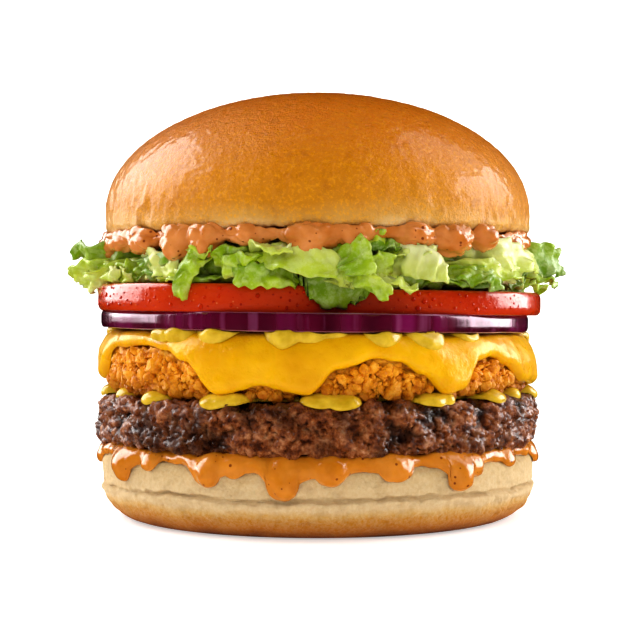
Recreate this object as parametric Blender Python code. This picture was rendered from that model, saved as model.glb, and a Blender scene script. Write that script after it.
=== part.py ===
"""A burger with a beef patty and a breaded chicken patty, built layer by layer from the heel to the crown.

Metres, +Z up. The origin is the middle of the heel's flat base. A bearing is an angle seen from above:
0 is the front (-Y), and 90 degrees is the right side (+X).
"""

import math
import random

import bmesh
import bpy
from mathutils import Matrix, Vector, noise
from mathutils.bvhtree import BVHTree

MM = 0.001
GAP = 0.3 * MM

HEEL_RADIUS = 55.2 * MM
HEEL_TOP = 16.8 * MM
HEEL_BASE_EDGE = (9.4 * MM, 9.0 * MM)
HEEL_RIM_EDGE = (2.6 * MM, 2.6 * MM)
CREASE_HEIGHT = 9.4 * MM
CREASE_DEPTH = 0.8 * MM

LOWER_SAUCE_THICKNESS = 1.2 * MM
LOWER_SAUCE_RIM = 2.1 * MM

BEEF_RADIUS = 57.0 * MM
BEEF_LOW = 18.6 * MM
BEEF_HIGH = 31.2 * MM
BEEF_RELIEF = 2.3 * MM

CHICKEN_RADIUS = 53.6 * MM
CHICKEN_LOW = 32.5 * MM
CHICKEN_HIGH = 44.0 * MM
CHICKEN_RELIEF = 1.6 * MM

CHEESE_THICKNESS = 1.6 * MM
CHEESE_SIDE = 2.2 * MM

MUSTARD_INSET = 0.5 * MM
MUSTARD_THICKNESS = 1.1 * MM
MUSTARD_LIFT = 0.9 * MM

ONION_RADIUS = 54.7 * MM
ONION_OFFSET = -0.6 * MM
ONION_THICKNESS = 4.5 * MM
ONION_MIDDLE = 49.5 * MM
TOPPING_TILT = math.radians(0.7)

TOMATO_RADIUS = 39.5 * MM
# Plan position and thickness in mm. Each later slice is trimmed to fit against the ones before it.
TOMATOES = {"left": (-15.4, -10.0, 6.2), "right": (16.6, -7.0, 5.3), "back": (0.5, 15.0, 5.8)}

HEAP_RADIUS = 50.5 * MM
HEAP_LOW = 59.0 * MM
HEAP_HIGH = 68.8 * MM
SHRED_THICKNESS = 0.8 * MM
SHRED_TRIES = 240

UPPER_SAUCE_LOW = 69.3 * MM
UPPER_SAUCE_HIGH = 70.5 * MM
UPPER_SAUCE_RIM = 52.0 * MM

CROWN_RADIUS = 54.3 * MM
CROWN_LOW = 70.9 * MM
CROWN_WIDEST = 77.2 * MM
CROWN_TOP = 107.7 * MM

# Bearing in degrees, half width, drop below the heel's top edge.
LOWER_DRIPS = [
    (-84, 7.0, 2.0), (-57, 4.4, 4.4), (-46, 3.4, 1.5), (-27, 4.2, 3.8), (-20, 4.0, 1.8), (-8, 4.0, 6.4),
    (3, 4.4, 3.2),
    (19, 5.6, 2.6), (36, 3.8, 5.2), (41, 4.4, 2.2), (57, 3.6, 1.2), (82, 6.0, 2.0), (108, 4.6, 4.6),
    (129, 4.2, 2.6),
    (150, 3.8, 5.8), (159, 4.6, 2.4), (182, 4.6, 4.0), (206, 4.2, 5.4), (214, 4.0, 2.2), (233, 4.4, 3.2),
    (256, 4.0, 5.0),
]
# Bearing in degrees, half width, how far it stands out, how far it hangs below the crown.
UPPER_LUMPS = [
    (-78, 8.0, 3.0, 5.2), (-37, 5.2, 4.2, 6.0), (-29, 4.4, 4.4, 4.6), (-17, 6.0, 2.2, 2.4),
    (-1, 6.0, 3.4, 4.8),
    (9, 5.0, 3.2, 2.6), (25, 5.0, 3.4, 3.0), (36, 5.6, 4.6, 4.8), (47, 3.6, 4.0, 3.0), (68, 7.0, 2.8, 3.2),
    (97, 6.0, 3.8, 4.4), (121, 6.4, 3.2, 3.0), (147, 5.6, 4.4, 5.4), (156, 4.6, 3.6, 3.2),
    (184, 7.0, 3.4, 4.6),
    (212, 5.6, 4.4, 4.8), (221, 4.4, 3.4, 2.8), (247, 6.6, 3.4, 3.8),
]
# Bearing in degrees, height of the melted slice's lower edge in mm.
CHEESE_EDGE = [
    (-80, 34.9), (-66, 42.6), (-51, 43.4), (-41, 42.4), (-34, 40.2), (-25, 33.2), (-14, 35.0),
    (-2, 33.2), (5, 38.8),
    (14, 41.4), (20, 40.6), (26, 37.8), (33, 33.4), (37, 34.4), (43, 40.8), (49, 41.8), (56, 39.6),
    (68, 34.8),
    (86, 34.0), (100, 38.6), (114, 41.6), (128, 38.0), (139, 33.6), (152, 35.4), (164, 33.6), (176, 39.6),
    (192, 41.8), (206, 38.2), (216, 33.8), (224, 34.6), (235, 41.2), (248, 41.8), (262, 36.0),
]
# Bearing in degrees, half width, how far past the patty's shoulder the lobe comes, thickness, in mm.
LOWER_LOBES = [
    (-63, 4.6, 3.0, 2.6), (-46, 5.4, 4.4, 2.3), (-24, 6.4, 4.6, 2.3), (2, 8.2, 4.2, 2.0),
    (30, 5.4, 4.0, 2.3),
    (52, 5.4, 3.8, 2.6), (65, 4.6, 2.8, 2.8), (88, 6.6, 4.2, 2.3), (112, 5.4, 3.6, 2.4),
    (133, 6.4, 4.6, 2.2),
    (158, 7.6, 4.0, 2.3), (181, 5.2, 4.4, 2.3), (201, 6.4, 3.8, 2.5), (226, 5.6, 4.6, 2.3),
    (247, 7.4, 4.0, 2.2),
    (272, 5.8, 3.6, 2.5),
]
UPPER_LOBES = [
    (-42, 4.8, 2.2, 2.6), (-36, 5.2, 1.8, 3.2), (-25.5, 7.0, 1.7, 3.6), (-8, 5.4, 3.3, 2.6),
    (-2, 7.8, 2.6, 2.6),
    (4, 6.6, 2.0, 2.6), (16.5, 6.0, 2.9, 2.4), (28.5, 5.4, 3.5, 2.4), (42, 4.6, 2.4, 2.2),
    (84, 6.4, 2.4, 2.6),
    (96, 5.4, 3.2, 2.4), (112, 6.2, 2.0, 2.8), (127, 5.0, 3.4, 2.4), (141, 7.0, 2.2, 3.2),
    (160, 5.4, 3.4, 2.4),
    (173, 6.4, 2.4, 2.6), (190, 5.6, 3.0, 2.4), (205, 7.2, 2.2, 3.4), (221, 5.0, 3.6, 2.4),
    (234, 6.2, 2.2, 2.8),
    (258, 5.6, 2.6, 2.4), (272, 4.6, 2.0, 2.4),
]
# Where a shred leaves the heap and where it ends: bearing, bearing; then the end's distance from the axis,
# the two heights, the width, and how far its broad face turns up from facing outwards.
SHREDS = [
    (-66, -86, 60.0, 64.5, 66.8, 6.0, 35), (-68, -89, 61.5, 62.5, 60.4, 6.0, 30),
    (-62, -78, 58.5, 61.5, 57.6, 4.5, 10),
    (-64, -36, 54.5, 63.6, 62.4, 6.0, 15), (-76, -58, 56.0, 61.0, 60.4, 4.0, 25),
    (-54, -31, 55.5, 60.4, 59.9, 3.2, 5),
    (-27, -33, 57.5, 66.0, 55.0, 4.2, 0), (-25, 5, 56.0, 65.8, 61.8, 7.5, 25),
    (-19, -6, 56.5, 66.4, 65.6, 5.0, 55),
    (5, 10, 58.2, 66.8, 60.0, 8.0, 5), (1, 16, 57.4, 61.6, 55.6, 4.2, 8),
    (15, 31, 57.0, 64.0, 60.6, 7.0, 20),
    (14, 30, 54.5, 66.4, 65.6, 4.4, 30), (34, 71, 56.5, 65.4, 64.0, 7.5, 15),
    (31, 61, 56.0, 61.6, 60.9, 4.6, 20),
    (33, 48, 57.0, 60.2, 58.2, 4.0, 10), (67, 88, 61.5, 65.0, 63.6, 7.5, 30),
    (70, 84, 59.5, 62.0, 58.4, 4.0, 20),
    (92, 112, 58.0, 64.5, 62.0, 7.0, 20), (96, 104, 60.0, 61.0, 57.5, 4.6, 10),
    (112, 142, 56.5, 65.5, 64.0, 7.0, 25),
    (118, 126, 59.5, 62.0, 56.4, 5.0, 5), (136, 160, 57.0, 61.5, 61.0, 5.6, 20),
    (146, 170, 56.5, 66.0, 65.0, 6.0, 40),
    (160, 164, 58.5, 63.5, 56.6, 5.2, 0), (170, 198, 56.5, 62.5, 61.0, 6.6, 20),
    (180, 204, 57.5, 66.4, 65.0, 5.6, 45),
    (200, 206, 59.5, 62.5, 57.0, 4.6, 5), (208, 236, 56.5, 64.5, 63.0, 7.4, 20),
    (214, 238, 56.0, 60.8, 60.4, 4.4, 15),
    (236, 244, 60.0, 64.0, 58.4, 5.6, 10), (242, 268, 57.0, 66.0, 65.0, 6.0, 35),
    (246, 270, 57.0, 61.4, 60.8, 5.0, 20),
]


def on_bearing(bearing, radius, height):
    """The point at that bearing and distance from the burger's axis."""
    return Vector((radius * math.sin(bearing), -radius * math.cos(bearing), height))


def eased(table, bearing):
    """A value from a table of (degrees, value), eased from one entry to the next, all the way round."""
    rows = sorted((angle % 360, value) for angle, value in table)
    rows = [(rows[-1][0] - 360, rows[-1][1]), *rows, (rows[0][0] + 360, rows[0][1])]
    degrees = math.degrees(bearing) % 360
    for (low, first), (high, last) in zip(rows, rows[1:]):
        if degrees <= high:
            share = (degrees - low) / (high - low)
            return first + (last - first) * share * share * (3 - 2 * share)
    return rows[-1][1]


def lumps_at(table, bearing, radius, column):
    """The largest of the rounded lumps that a table places round the rim, at this bearing."""
    best = 0.0
    for angle, half_width, *sizes in table:
        off = (bearing - math.radians(angle) + math.pi) % (2 * math.pi) - math.pi
        share = off * radius / (half_width * MM)
        best = max(best, sizes[column] * MM * math.exp(-share * share))
    return best


def ripple(bearing, waves, seed):
    """Gentle unevenness round an outline, from -1 to 1."""
    return noise.noise(Vector((math.cos(bearing) * waves, math.sin(bearing) * waves, seed)))


class Slab:
    """A round layer, flat above and below, with a quarter ellipse (inwards, upwards) at each edge."""

    def __init__(self, radius, low, high, low_edge, high_edge):
        self.radius, self.low, self.high = radius, low, high
        self.low_edge, self.high_edge = low_edge, high_edge

    def top_at(self, radius):
        inwards, upwards = self.high_edge
        share = min(1.0, max(0.0, (radius - self.radius + inwards) / inwards))
        return self.high - upwards * (1 - math.sqrt(1 - share * share))

    def bottom_at(self, radius):
        inwards, upwards = self.low_edge
        share = min(1.0, max(0.0, (radius - self.radius + inwards) / inwards))
        return self.low + upwards * (1 - math.sqrt(1 - share * share))

    def section(self, flat=(0.0, 0.6), top_steps=4, wall=(), bottom_steps=4):
        """Points (radius, height) from the top's middle, round the edge, to the base's middle."""
        inwards, upwards = self.high_edge
        points = [((self.radius - inwards) * share, self.high) for share in flat]
        for step in range(top_steps + 1):
            angle = math.pi / 2 * step / top_steps
            outwards = self.radius - inwards + inwards * math.sin(angle)
            points.append((outwards, self.high - upwards * (1 - math.cos(angle))))
        points += [(self.radius, height) for height in wall]
        inwards, upwards = self.low_edge
        for step in range(bottom_steps + 1):
            angle = math.pi / 2 * step / bottom_steps
            outwards = self.radius - inwards + inwards * math.cos(angle)
            point = (outwards, self.low + upwards * (1 - math.sin(angle)))
            if math.dist(point, points[-1]) > GAP:
                points.append(point)
        return points + [((self.radius - inwards) * share, self.low) for share in reversed(flat)]

    def station(self, travel):
        """(radius, height, normal) that far along a line over the top, round the edge and straight down."""
        inwards, upwards = self.high_edge
        flat = self.radius - inwards
        round_edge = math.pi / 2 * math.sqrt((inwards**2 + upwards**2) / 2)
        if travel <= flat:
            return travel, self.high, (0.0, 1.0)
        if travel >= flat + round_edge:
            return self.radius, self.high - upwards - (travel - flat - round_edge), (1.0, 0.0)
        angle = math.pi / 2 * (travel - flat) / round_edge
        normal = Vector((upwards * math.sin(angle), inwards * math.cos(angle))).normalized()
        return flat + inwards * math.sin(angle), self.high - upwards * (1 - math.cos(angle)), tuple(normal)

    def travel_to(self, height):
        """How far that line runs before it comes down to this height."""
        inwards, upwards = self.high_edge
        flat = self.radius - inwards
        round_edge = math.pi / 2 * math.sqrt((inwards**2 + upwards**2) / 2)
        drop = self.high - height
        if drop >= upwards:
            return flat + round_edge + drop - upwards
        return flat + round_edge * math.acos(1 - drop / upwards) / (math.pi / 2)


HEEL = Slab(HEEL_RADIUS, 0.0, HEEL_TOP, HEEL_BASE_EDGE, HEEL_RIM_EDGE)
BEEF = Slab(BEEF_RADIUS, BEEF_LOW, BEEF_HIGH, (4.2 * MM, 4.0 * MM), (4.6 * MM, 4.0 * MM))
CHICKEN = Slab(CHICKEN_RADIUS, CHICKEN_LOW, CHICKEN_HIGH, (4.4 * MM, 4.0 * MM), (3.2 * MM, 3.2 * MM))
DOME = (CROWN_RADIUS, CROWN_TOP - CROWN_WIDEST)
CROWN = Slab(CROWN_RADIUS, CROWN_LOW, CROWN_TOP, (2.4 * MM, 2.4 * MM), DOME)
HEAP = Slab(HEAP_RADIUS, HEAP_LOW, HEAP_HIGH, (3.0 * MM, 3.0 * MM), (8.0 * MM, 5.6 * MM))


def food(name, colour, roughness, subsurface=0.0):
    """A material of that sRGB colour."""
    material = bpy.data.materials.new(name)
    material.use_nodes = True
    shader = material.node_tree.nodes["Principled BSDF"]
    linear = [((c / 255 + 0.055) / 1.055) ** 2.4 for c in colour]
    shader.inputs["Base Color"].default_value = (*linear, 1.0)
    shader.inputs["Roughness"].default_value = roughness
    shader.inputs["Subsurface Weight"].default_value = subsurface
    material.diffuse_color = (*linear, 1.0)
    return material


def placed(name, mesh, material):
    """An object in the scene, shaded smooth where its faces meet at under 50 degrees."""
    mesh.materials.append(material)
    mesh.shade_smooth()
    mesh.set_sharp_from_angle(angle=math.radians(50))
    made = bpy.data.objects.new(name, mesh)
    bpy.context.scene.collection.objects.link(made)
    return made


def turned(name, section_at, bearings, material):
    """A closed round solid. Its section, (radius, height) from top to base, may change with the bearing."""
    shape = bmesh.new()
    sections = [section_at(bearing) for bearing in bearings]
    top = shape.verts.new((0, 0, sections[0][0][1]))
    base = shape.verts.new((0, 0, sections[0][-1][1]))
    rings = [
        [shape.verts.new(on_bearing(bearing, *point)) for point in section[1:-1]]
        for bearing, section in zip(bearings, sections)
    ]
    for here, there in zip(rings, rings[1:] + rings[:1]):
        shape.faces.new((top, here[0], there[0]))
        shape.faces.new((base, there[-1], here[-1]))
        for row in range(len(here) - 1):
            shape.faces.new((here[row], here[row + 1], there[row + 1], there[row]))
    bmesh.ops.recalc_face_normals(shape, faces=shape.faces)
    bmesh.ops.triangulate(shape, faces=shape.faces)
    mesh = bpy.data.meshes.new(name)
    shape.to_mesh(mesh)
    shape.free()
    return placed(name, mesh, material)


def evenly(count):
    """Bearings evenly spaced all the way round."""
    return [2 * math.pi * step / count for step in range(count)]


def round_lumps(table, radius, widest):
    """Bearings that meet the middle and flanks of every lump in a table, no further apart than widest."""
    wanted = []
    for angle, half_width, *_ in table:
        for share in (-1.1, -0.5, 0.0, 0.5, 1.1):
            wanted.append((math.radians(angle) + share * half_width * MM / radius) % (2 * math.pi))
    wanted.sort()
    kept = [wanted[0]]
    for bearing in wanted[1:] + [wanted[0] + 2 * math.pi]:
        between = (bearing - kept[-1]) * radius
        if between < 0.36 * widest:
            continue
        pieces = math.ceil(between / widest)
        kept += [kept[-1] + (bearing - kept[-1]) * (piece + 1) / pieces for piece in range(pieces)]
    return kept[:-1] if kept[-1] - kept[0] > 2 * math.pi - 0.2 * widest / radius else kept


def carved(section, bearing, depth_at):
    """The section with each point moved in along its normal by depth_at(point in space)."""
    moved = [section[0]]
    for before, point, after in zip(section, section[1:], section[2:]):
        along = Vector((after[0] - before[0], after[1] - before[1])).normalized()
        depth = depth_at(on_bearing(bearing, *point))
        moved.append((point[0] + along.y * depth, point[1] - along.x * depth))
    return moved + [section[-1]]


def coat_section(slab, reach, thickness_at, steps, lip, from_rim):
    """The section of a layer that lies on a slab and flows over its edge as far as reach."""
    start = slab.radius - slab.high_edge[0] - from_rim
    travels = [start + (reach - start) * step / steps for step in range(steps)]
    outer, inner = [], []
    for travel in travels:
        radius, height, (out, up) = slab.station(travel)
        share = min(1.0, (reach - travel) / lip)
        full = GAP + thickness_at(travel) * math.sqrt(1 - (1 - share) ** 2)
        outer.append((radius + out * full, height + up * full))
        inner.append((radius + out * GAP, height + up * GAP))
    radius, height, (out, up) = slab.station(reach)
    tip = GAP + 0.3 * thickness_at(reach)
    middle_top = slab.high + GAP + thickness_at(0.0)
    return [
        (0.0, middle_top),
        *outer,
        (radius + out * tip, height + up * tip),
        *reversed(inner),
        (0.0, slab.high + GAP),
    ]


def leaned(made):
    """Tips an object's upper side to the right as the toppings lean, and leaves its lower side level."""
    for vertex in made.data.vertices:
        share = (vertex.co.z - CHICKEN_LOW) / (CHICKEN_HIGH - CHICKEN_LOW)
        vertex.co.z -= math.tan(TOPPING_TILT) * vertex.co.x * min(1.0, max(0.0, share))


def heel():
    """The bun's lower half: pale sides with an uneven crease, and a rounded edge down to the flat base."""
    crease = CREASE_HEIGHT
    wall = (crease + 1.6 * MM, crease, crease - 1.0 * MM)
    section = HEEL.section(flat=(0.0,), top_steps=3, wall=wall, bottom_steps=4)

    def section_at(bearing):
        swell = 0.5 * MM * ripple(bearing, 1.3, 4.0)
        wander = 1.2 * MM * ripple(bearing, 2.0, 9.0)
        cut = CREASE_DEPTH * (0.6 + 0.6 * ripple(bearing, 3.0, 2.0))
        rows = []
        for radius, height in section:
            at_side = radius > 0.8 * HEEL_RADIUS
            grown = max(0.0, math.sin(math.pi * min(1.0, height / HEEL_TOP))) * swell if at_side else 0.0
            inwards = cut if abs(height - crease) < 0.2 * MM and at_side else 0.0
            shift = wander if 4 * MM < height < 13 * MM and at_side else 0.0
            rows.append((radius + min(0.0, grown) - inwards, height + shift))
        return rows

    turned("bun_heel", section_at, evenly(42), food("bun_crumb", (214, 176, 122), 0.7, 0.1))


def lower_sauce():
    """Orange burger sauce on the heel, squeezed out at the rim into drips."""

    def section_at(bearing):
        drop = lumps_at(LOWER_DRIPS, bearing, HEEL_RADIUS, 0)
        reach = HEEL.travel_to(HEEL_TOP - 1.2 * MM) + 0.5 * MM * ripple(bearing, 5.0, 1.0) + drop
        rim = HEEL_RADIUS - 3.2 * MM

        def thickness_at(travel):
            share = min(1.0, max(0.0, (travel - rim) / (3.6 * MM)))
            return LOWER_SAUCE_THICKNESS + (LOWER_SAUCE_RIM - LOWER_SAUCE_THICKNESS) * share * share

        return coat_section(HEEL, reach, thickness_at, 4, 2.0 * MM, 0.6 * MM)

    bearings = round_lumps(LOWER_DRIPS, HEEL_RADIUS, 8.0 * MM)
    turned("sauce_lower", section_at, bearings, food("burger_sauce", (224, 136, 52), 0.25, 0.2))


def beef():
    """The beef patty: a thick disc with a craggy side, cracked where the mince pulled apart."""
    middle = (BEEF_LOW + BEEF_HIGH) / 2
    wall = (middle + 1.2 * MM, middle - 1.2 * MM)
    section = BEEF.section(flat=(0.0, 0.86), top_steps=3, wall=wall, bottom_steps=2)

    def depth_at(point):
        coarse = 0.5 + 0.5 * noise.noise(point / (10 * MM))
        fine = abs(noise.noise(point / (4.4 * MM) + Vector((7, 1, 3))))
        cleft = max(0.0, noise.noise(point / (13 * MM) + Vector((2, 5, 8))) - 0.2)
        side = 1.0 if point.xy.length > 0.9 * BEEF_RADIUS else 0.3
        return BEEF_RELIEF * side * min(1.0, 0.5 * coarse + 0.6 * fine + 1.4 * cleft)

    turned(
        "beef_patty", lambda bearing: carved(section, bearing, depth_at), evenly(70),
        food("grilled_beef", (92, 56, 38), 0.45),
    )


def chicken():
    """The breaded chicken patty, rough with crumbs round its side."""
    middle = (CHICKEN_LOW + CHICKEN_HIGH) / 2
    wall = (middle + 0.6 * MM, middle - 1.4 * MM)
    section = CHICKEN.section(flat=(0.0,), top_steps=2, wall=wall, bottom_steps=2)

    def depth_at(point):
        crumbs = abs(noise.noise(point / (3.2 * MM) + Vector((4, 4, 1))))
        lumps = 0.5 + 0.5 * noise.noise(point / (8 * MM))
        return CHICKEN_RELIEF * min(1.0, 1.1 * crumbs + 0.4 * lumps)

    leaned(turned(
        "chicken_patty", lambda bearing: carved(section, bearing, depth_at), evenly(80),
        food("fried_breading", (206, 124, 34), 0.55),
    ))


def cheese():
    """The melted slice, draped over the chicken: lobes hang, and arches between them leave it bare."""

    def section_at(bearing):
        reach = CHICKEN.travel_to(eased(CHEESE_EDGE, bearing) * MM)
        shoulder = CHICKEN_RADIUS - CHICKEN.high_edge[0]

        def thickness_at(travel):
            share = min(1.0, max(0.0, (travel - shoulder) / (6 * MM)))
            return CHEESE_THICKNESS + (CHEESE_SIDE - CHEESE_THICKNESS) * share

        return coat_section(CHICKEN, reach, thickness_at, 5, 2.2 * MM, 0.6 * MM)

    leaned(turned("cheese_slice", section_at, evenly(74), food("melted_cheese", (240, 172, 22), 0.3, 0.2)))


def squeezed(name, slab, cover_at, lobes, roof_at, material):
    """A layer on a slab and its cover, pressed flat by what lies above, whose lobes come out at the rim."""
    shoulder = slab.radius - slab.high_edge[0]
    start, steps = shoulder - 6 * MM, 6

    def section_at(bearing):
        reach, near = shoulder - MUSTARD_INSET, []
        for degrees, half_width, past, thickness in lobes:
            off = (bearing - math.radians(degrees) + math.pi) % (2 * math.pi) - math.pi
            share, nose = off * slab.radius / (half_width * MM), 0.7 * half_width * MM
            if abs(share) < 1:
                near.append((share, nose, shoulder + past * MM, thickness * MM))
                reach = max(reach, shoulder + past * MM - nose * (1 - math.sqrt(1 - share * share)))

        def thickness_at(travel):
            thickest = MUSTARD_THICKNESS
            for share, nose, tip, thickness in near:
                down = max(0.0, (travel - tip + nose) / nose)
                thickest = max(thickest, thickness * math.sqrt(max(0.0, 1 - share * share - down * down)))
            return thickest

        outer, inner = [], []
        for step in range(steps + 1):
            travel = start + (reach - start) * math.sin(math.pi / 2 * step / steps)
            radius, height, (out, up) = slab.station(travel)
            # Straight edges cut across the rounded shoulder, so the layer is held further off there.
            bend = min(1.0, max(0.0, (travel - shoulder + 1 * MM) / (3 * MM)))
            low = GAP + cover_at(travel) + MUSTARD_LIFT * bend
            full = low + (thickness_at(travel) if step < steps else 0.3 * MM)
            outer.append((radius + out * full, min(height + up * full, roof_at(radius + out * full))))
            inner.append((radius + out * low, height + up * low))
        middle = slab.high + GAP + cover_at(start)
        return [(0.0, outer[0][1]), *outer, *reversed(inner[:-1]), (0.0, middle)]

    return turned(name, section_at, round_lumps(lobes, slab.radius, 5.0 * MM), material)


def cheese_cover(travel):
    """How thick the cheese and the gap under it are, that far over the chicken."""
    share = min(1.0, max(0.0, (travel - CHICKEN_RADIUS + CHICKEN.high_edge[0]) / (6 * MM)))
    return GAP + CHEESE_THICKNESS + (CHEESE_SIDE - CHEESE_THICKNESS) * share


def under_chicken(radius):
    """The height that the lower mustard stays below: the chicken's base, then the cheese's tips."""
    return min(CHICKEN.bottom_at(radius) - GAP, 32.7 * MM)


def under_onion(radius):
    """The height that the upper mustard stays below: the onion's lower face, and its middle outside it."""
    if radius > ONION_RADIUS + 1.4 * MM:
        return ONION_MIDDLE - 0.8 * MM
    return ONION_MIDDLE - ONION_THICKNESS / 2 - GAP


def mustards():
    """Mustard pressed out between the patties, and more of it between the cheese and the onion."""
    yellow = food("mustard", (222, 184, 44), 0.22, 0.2)
    squeezed("mustard_lower", BEEF, lambda travel: 0.0, LOWER_LOBES, under_chicken, yellow)
    leaned(squeezed("mustard_upper", CHICKEN, cheese_cover, UPPER_LOBES, under_onion, yellow))


def round_slice(name, radius, thickness, bulge, around, centre, wobble, seed, material):
    """A slice cut from a round vegetable, its middle plane at height 0, with a bulging skin."""
    half = thickness / 2
    slab = Slab(radius, -half, half, (bulge, half), (bulge, half))
    section = slab.section(flat=(0.0,), top_steps=2, bottom_steps=2)

    def section_at(bearing):
        uneven = 1 + wobble * ripple(bearing, 1.4, seed)
        return [(r * uneven, z) for r, z in section]

    made = turned(name, section_at, evenly(around), material)
    made.data.transform(Matrix.Translation(centre))
    return made


def trimmed(slice_object, cutters):
    """Cuts the room of its neighbours out of a slice."""
    for cutter in cutters:
        cut = slice_object.modifiers.new("trim", "BOOLEAN")
        cut.object = cutter
        cut.operation = "DIFFERENCE"


def onion_and_tomatoes():
    """A wide slice of red onion, and three slices of tomato side by side on it, leaning to the right."""
    lean = bpy.data.objects.new("topping_lean", None)
    lean.location = (0, 0, ONION_MIDDLE)
    lean.rotation_euler = (0, TOPPING_TILT, 0)
    bpy.context.scene.collection.objects.link(lean)
    onion = round_slice(
        "onion_slice", ONION_RADIUS, ONION_THICKNESS, 0.7 * MM, 48, (ONION_OFFSET, 0, 0), 0.01, 3.0,
        food("red_onion", (112, 30, 78), 0.25, 0.1),
    )
    red = food("tomato", (200, 48, 24), 0.2, 0.15)
    slices, spaces = [], []
    for seed, (side, (x, y, thickness)) in enumerate(TOMATOES.items()):
        centre = (x * MM, y * MM, ONION_THICKNESS / 2 + GAP + thickness * MM / 2)
        sizes = (0.8 * MM, 40, centre, 0.02, seed + 5.0, red)
        made = round_slice("tomato_" + side, TOMATO_RADIUS, thickness * MM, *sizes)
        trimmed(made, spaces)
        slices.append(made)
        space = round_slice("space_" + side, TOMATO_RADIUS + GAP, 20 * MM, *sizes)
        space.hide_render = True
        space.display_type = "WIRE"
        spaces.append(space)
    for made in (onion, *slices, *spaces):
        made.parent = lean


def upper_sauce():
    """Orange sauce under the crown, squeezed out at the rim into lumps that hang over the lettuce."""
    corners = 5

    def section_at(bearing):
        out = 1.0 * MM + lumps_at(UPPER_LUMPS, bearing, UPPER_SAUCE_RIM, 0)
        down = 1.3 * MM + lumps_at(UPPER_LUMPS, bearing, UPPER_SAUCE_RIM, 1)
        rows = [(0.0, UPPER_SAUCE_HIGH)]
        for corner in range(corners + 1):
            angle = math.pi * corner / corners
            height = UPPER_SAUCE_HIGH - down / 2 * (1 - math.cos(angle))
            rows.append((UPPER_SAUCE_RIM + out * math.sin(angle), height))
        return rows + [(0.94 * UPPER_SAUCE_RIM, UPPER_SAUCE_LOW), (0.0, UPPER_SAUCE_LOW)]

    bearings = round_lumps(UPPER_LUMPS, UPPER_SAUCE_RIM, 8.0 * MM)
    turned("sauce_upper", section_at, bearings, food("burger_sauce_upper", (214, 122, 52), 0.25, 0.2))


def crown():
    """The bun's upper half: a tall glazed dome with a softly rounded lower rim."""
    section = Slab.section(CROWN, flat=(0.0,), top_steps=10, wall=(CROWN_LOW + 3.4 * MM,), bottom_steps=2)
    # The dome's section starts at its top point, which the flat part gives already.
    section = section[1:]

    def section_at(bearing):
        rows = [section[0]]
        for radius, height in section[1:-1]:
            point = on_bearing(bearing, radius, height)
            dent = 0.6 * MM * noise.noise(point / (26 * MM) + Vector((3, 2, 1)))
            share = radius / CROWN_RADIUS
            rows.append((radius + min(0.0, dent) * share, height))
        return rows + [section[-1]]

    turned("bun_crown", section_at, evenly(42), food("glazed_crust", (206, 124, 34), 0.28, 0.1))


def shred(first, last, reach, start_height, end_height, width, roll, ruffle, phase):
    """The vertices and faces of one ribbon of leaf: thin and wavy, its two faces split alike."""
    rows, columns = 5, 3
    middle = (first + last) / 2
    start = on_bearing(first, 46.5 * MM, start_height)
    crest = on_bearing(middle, max(reach, 55 * MM) + 3 * MM, max(start_height, end_height) + 0.5 * MM)
    end = on_bearing(last, reach, end_height)
    upper, lower = [], []
    for row in range(rows):
        u = row / (rows - 1)
        spot = start * (1 - u) ** 2 + crest * 2 * u * (1 - u) + end * u * u
        along = ((crest - start) * (1 - u) + (end - crest) * u).normalized()
        outwards = Vector((spot.x, spot.y, 0)).normalized()
        side = along.cross(outwards).normalized()
        flat = side.cross(along)
        across = side * math.cos(roll) + flat * math.sin(roll)
        normal = across.cross(along)
        half = width / 2 * (0.8 + 0.3 * math.sin(math.pi * u))
        for column in range(columns):
            place = column - 1
            wave = ruffle * math.sin(phase + 8.0 * u + 1.7 * place)
            point = spot + across * half * place + normal * wave
            upper.append(point + normal * SHRED_THICKNESS / 2)
            lower.append(point - normal * SHRED_THICKNESS / 2)
    count = len(upper)
    faces = []

    def quad(a, b, c, d):
        faces.extend([(a, b, c), (a, c, d)])

    for row in range(rows - 1):
        for column in range(columns - 1):
            a = row * columns + column
            quad(a, a + 1, a + columns + 1, a + columns)
            quad(count + a, count + a + columns, count + a + columns + 1, count + a + 1)
        for edge, turn in ((0, 1), (columns - 1, -1)):
            a = row * columns + edge
            b = a + columns
            quad(*(a, b, count + b, count + a)[::turn])
    for row, turn in ((0, -1), (rows - 1, 1)):
        for column in range(columns - 1):
            a = row * columns + column
            quad(*(a, a + 1, count + a + 1, count + a)[::turn])
    return upper + lower, faces


def grown_tree(made, by):
    """A search tree over an object's surface, moved out a little, to keep shreds clear of it."""
    graph = bpy.context.evaluated_depsgraph_get()
    mesh = made.evaluated_get(graph).to_mesh()
    place = made.matrix_world
    points = [place @ (vertex.co + vertex.normal * by) for vertex in mesh.vertices]
    mesh.calc_loop_triangles()
    faces = [tuple(triangle.vertices) for triangle in mesh.loop_triangles]
    return BVHTree.FromPolygons(points, faces)


def largest_shell(mesh):
    """The mesh with only its largest connected shell, so that no closed hollow stays inside."""
    shape = bmesh.new()
    shape.from_mesh(mesh)
    bmesh.ops.triangulate(shape, faces=shape.faces)
    left = set(shape.faces)
    shells = []
    while left:
        shell, edge = set(), [left.pop()]
        while edge:
            face = edge.pop()
            shell.add(face)
            near = {other for side in face.edges for other in side.link_faces} & left
            left -= near
            edge += near
        shells.append(shell)
    shells.sort(key=len)
    for shell in shells[:-1]:
        bmesh.ops.delete(shape, geom=list(shell), context="FACES")
    shape.to_mesh(mesh)
    shape.free()
    return mesh


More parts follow.
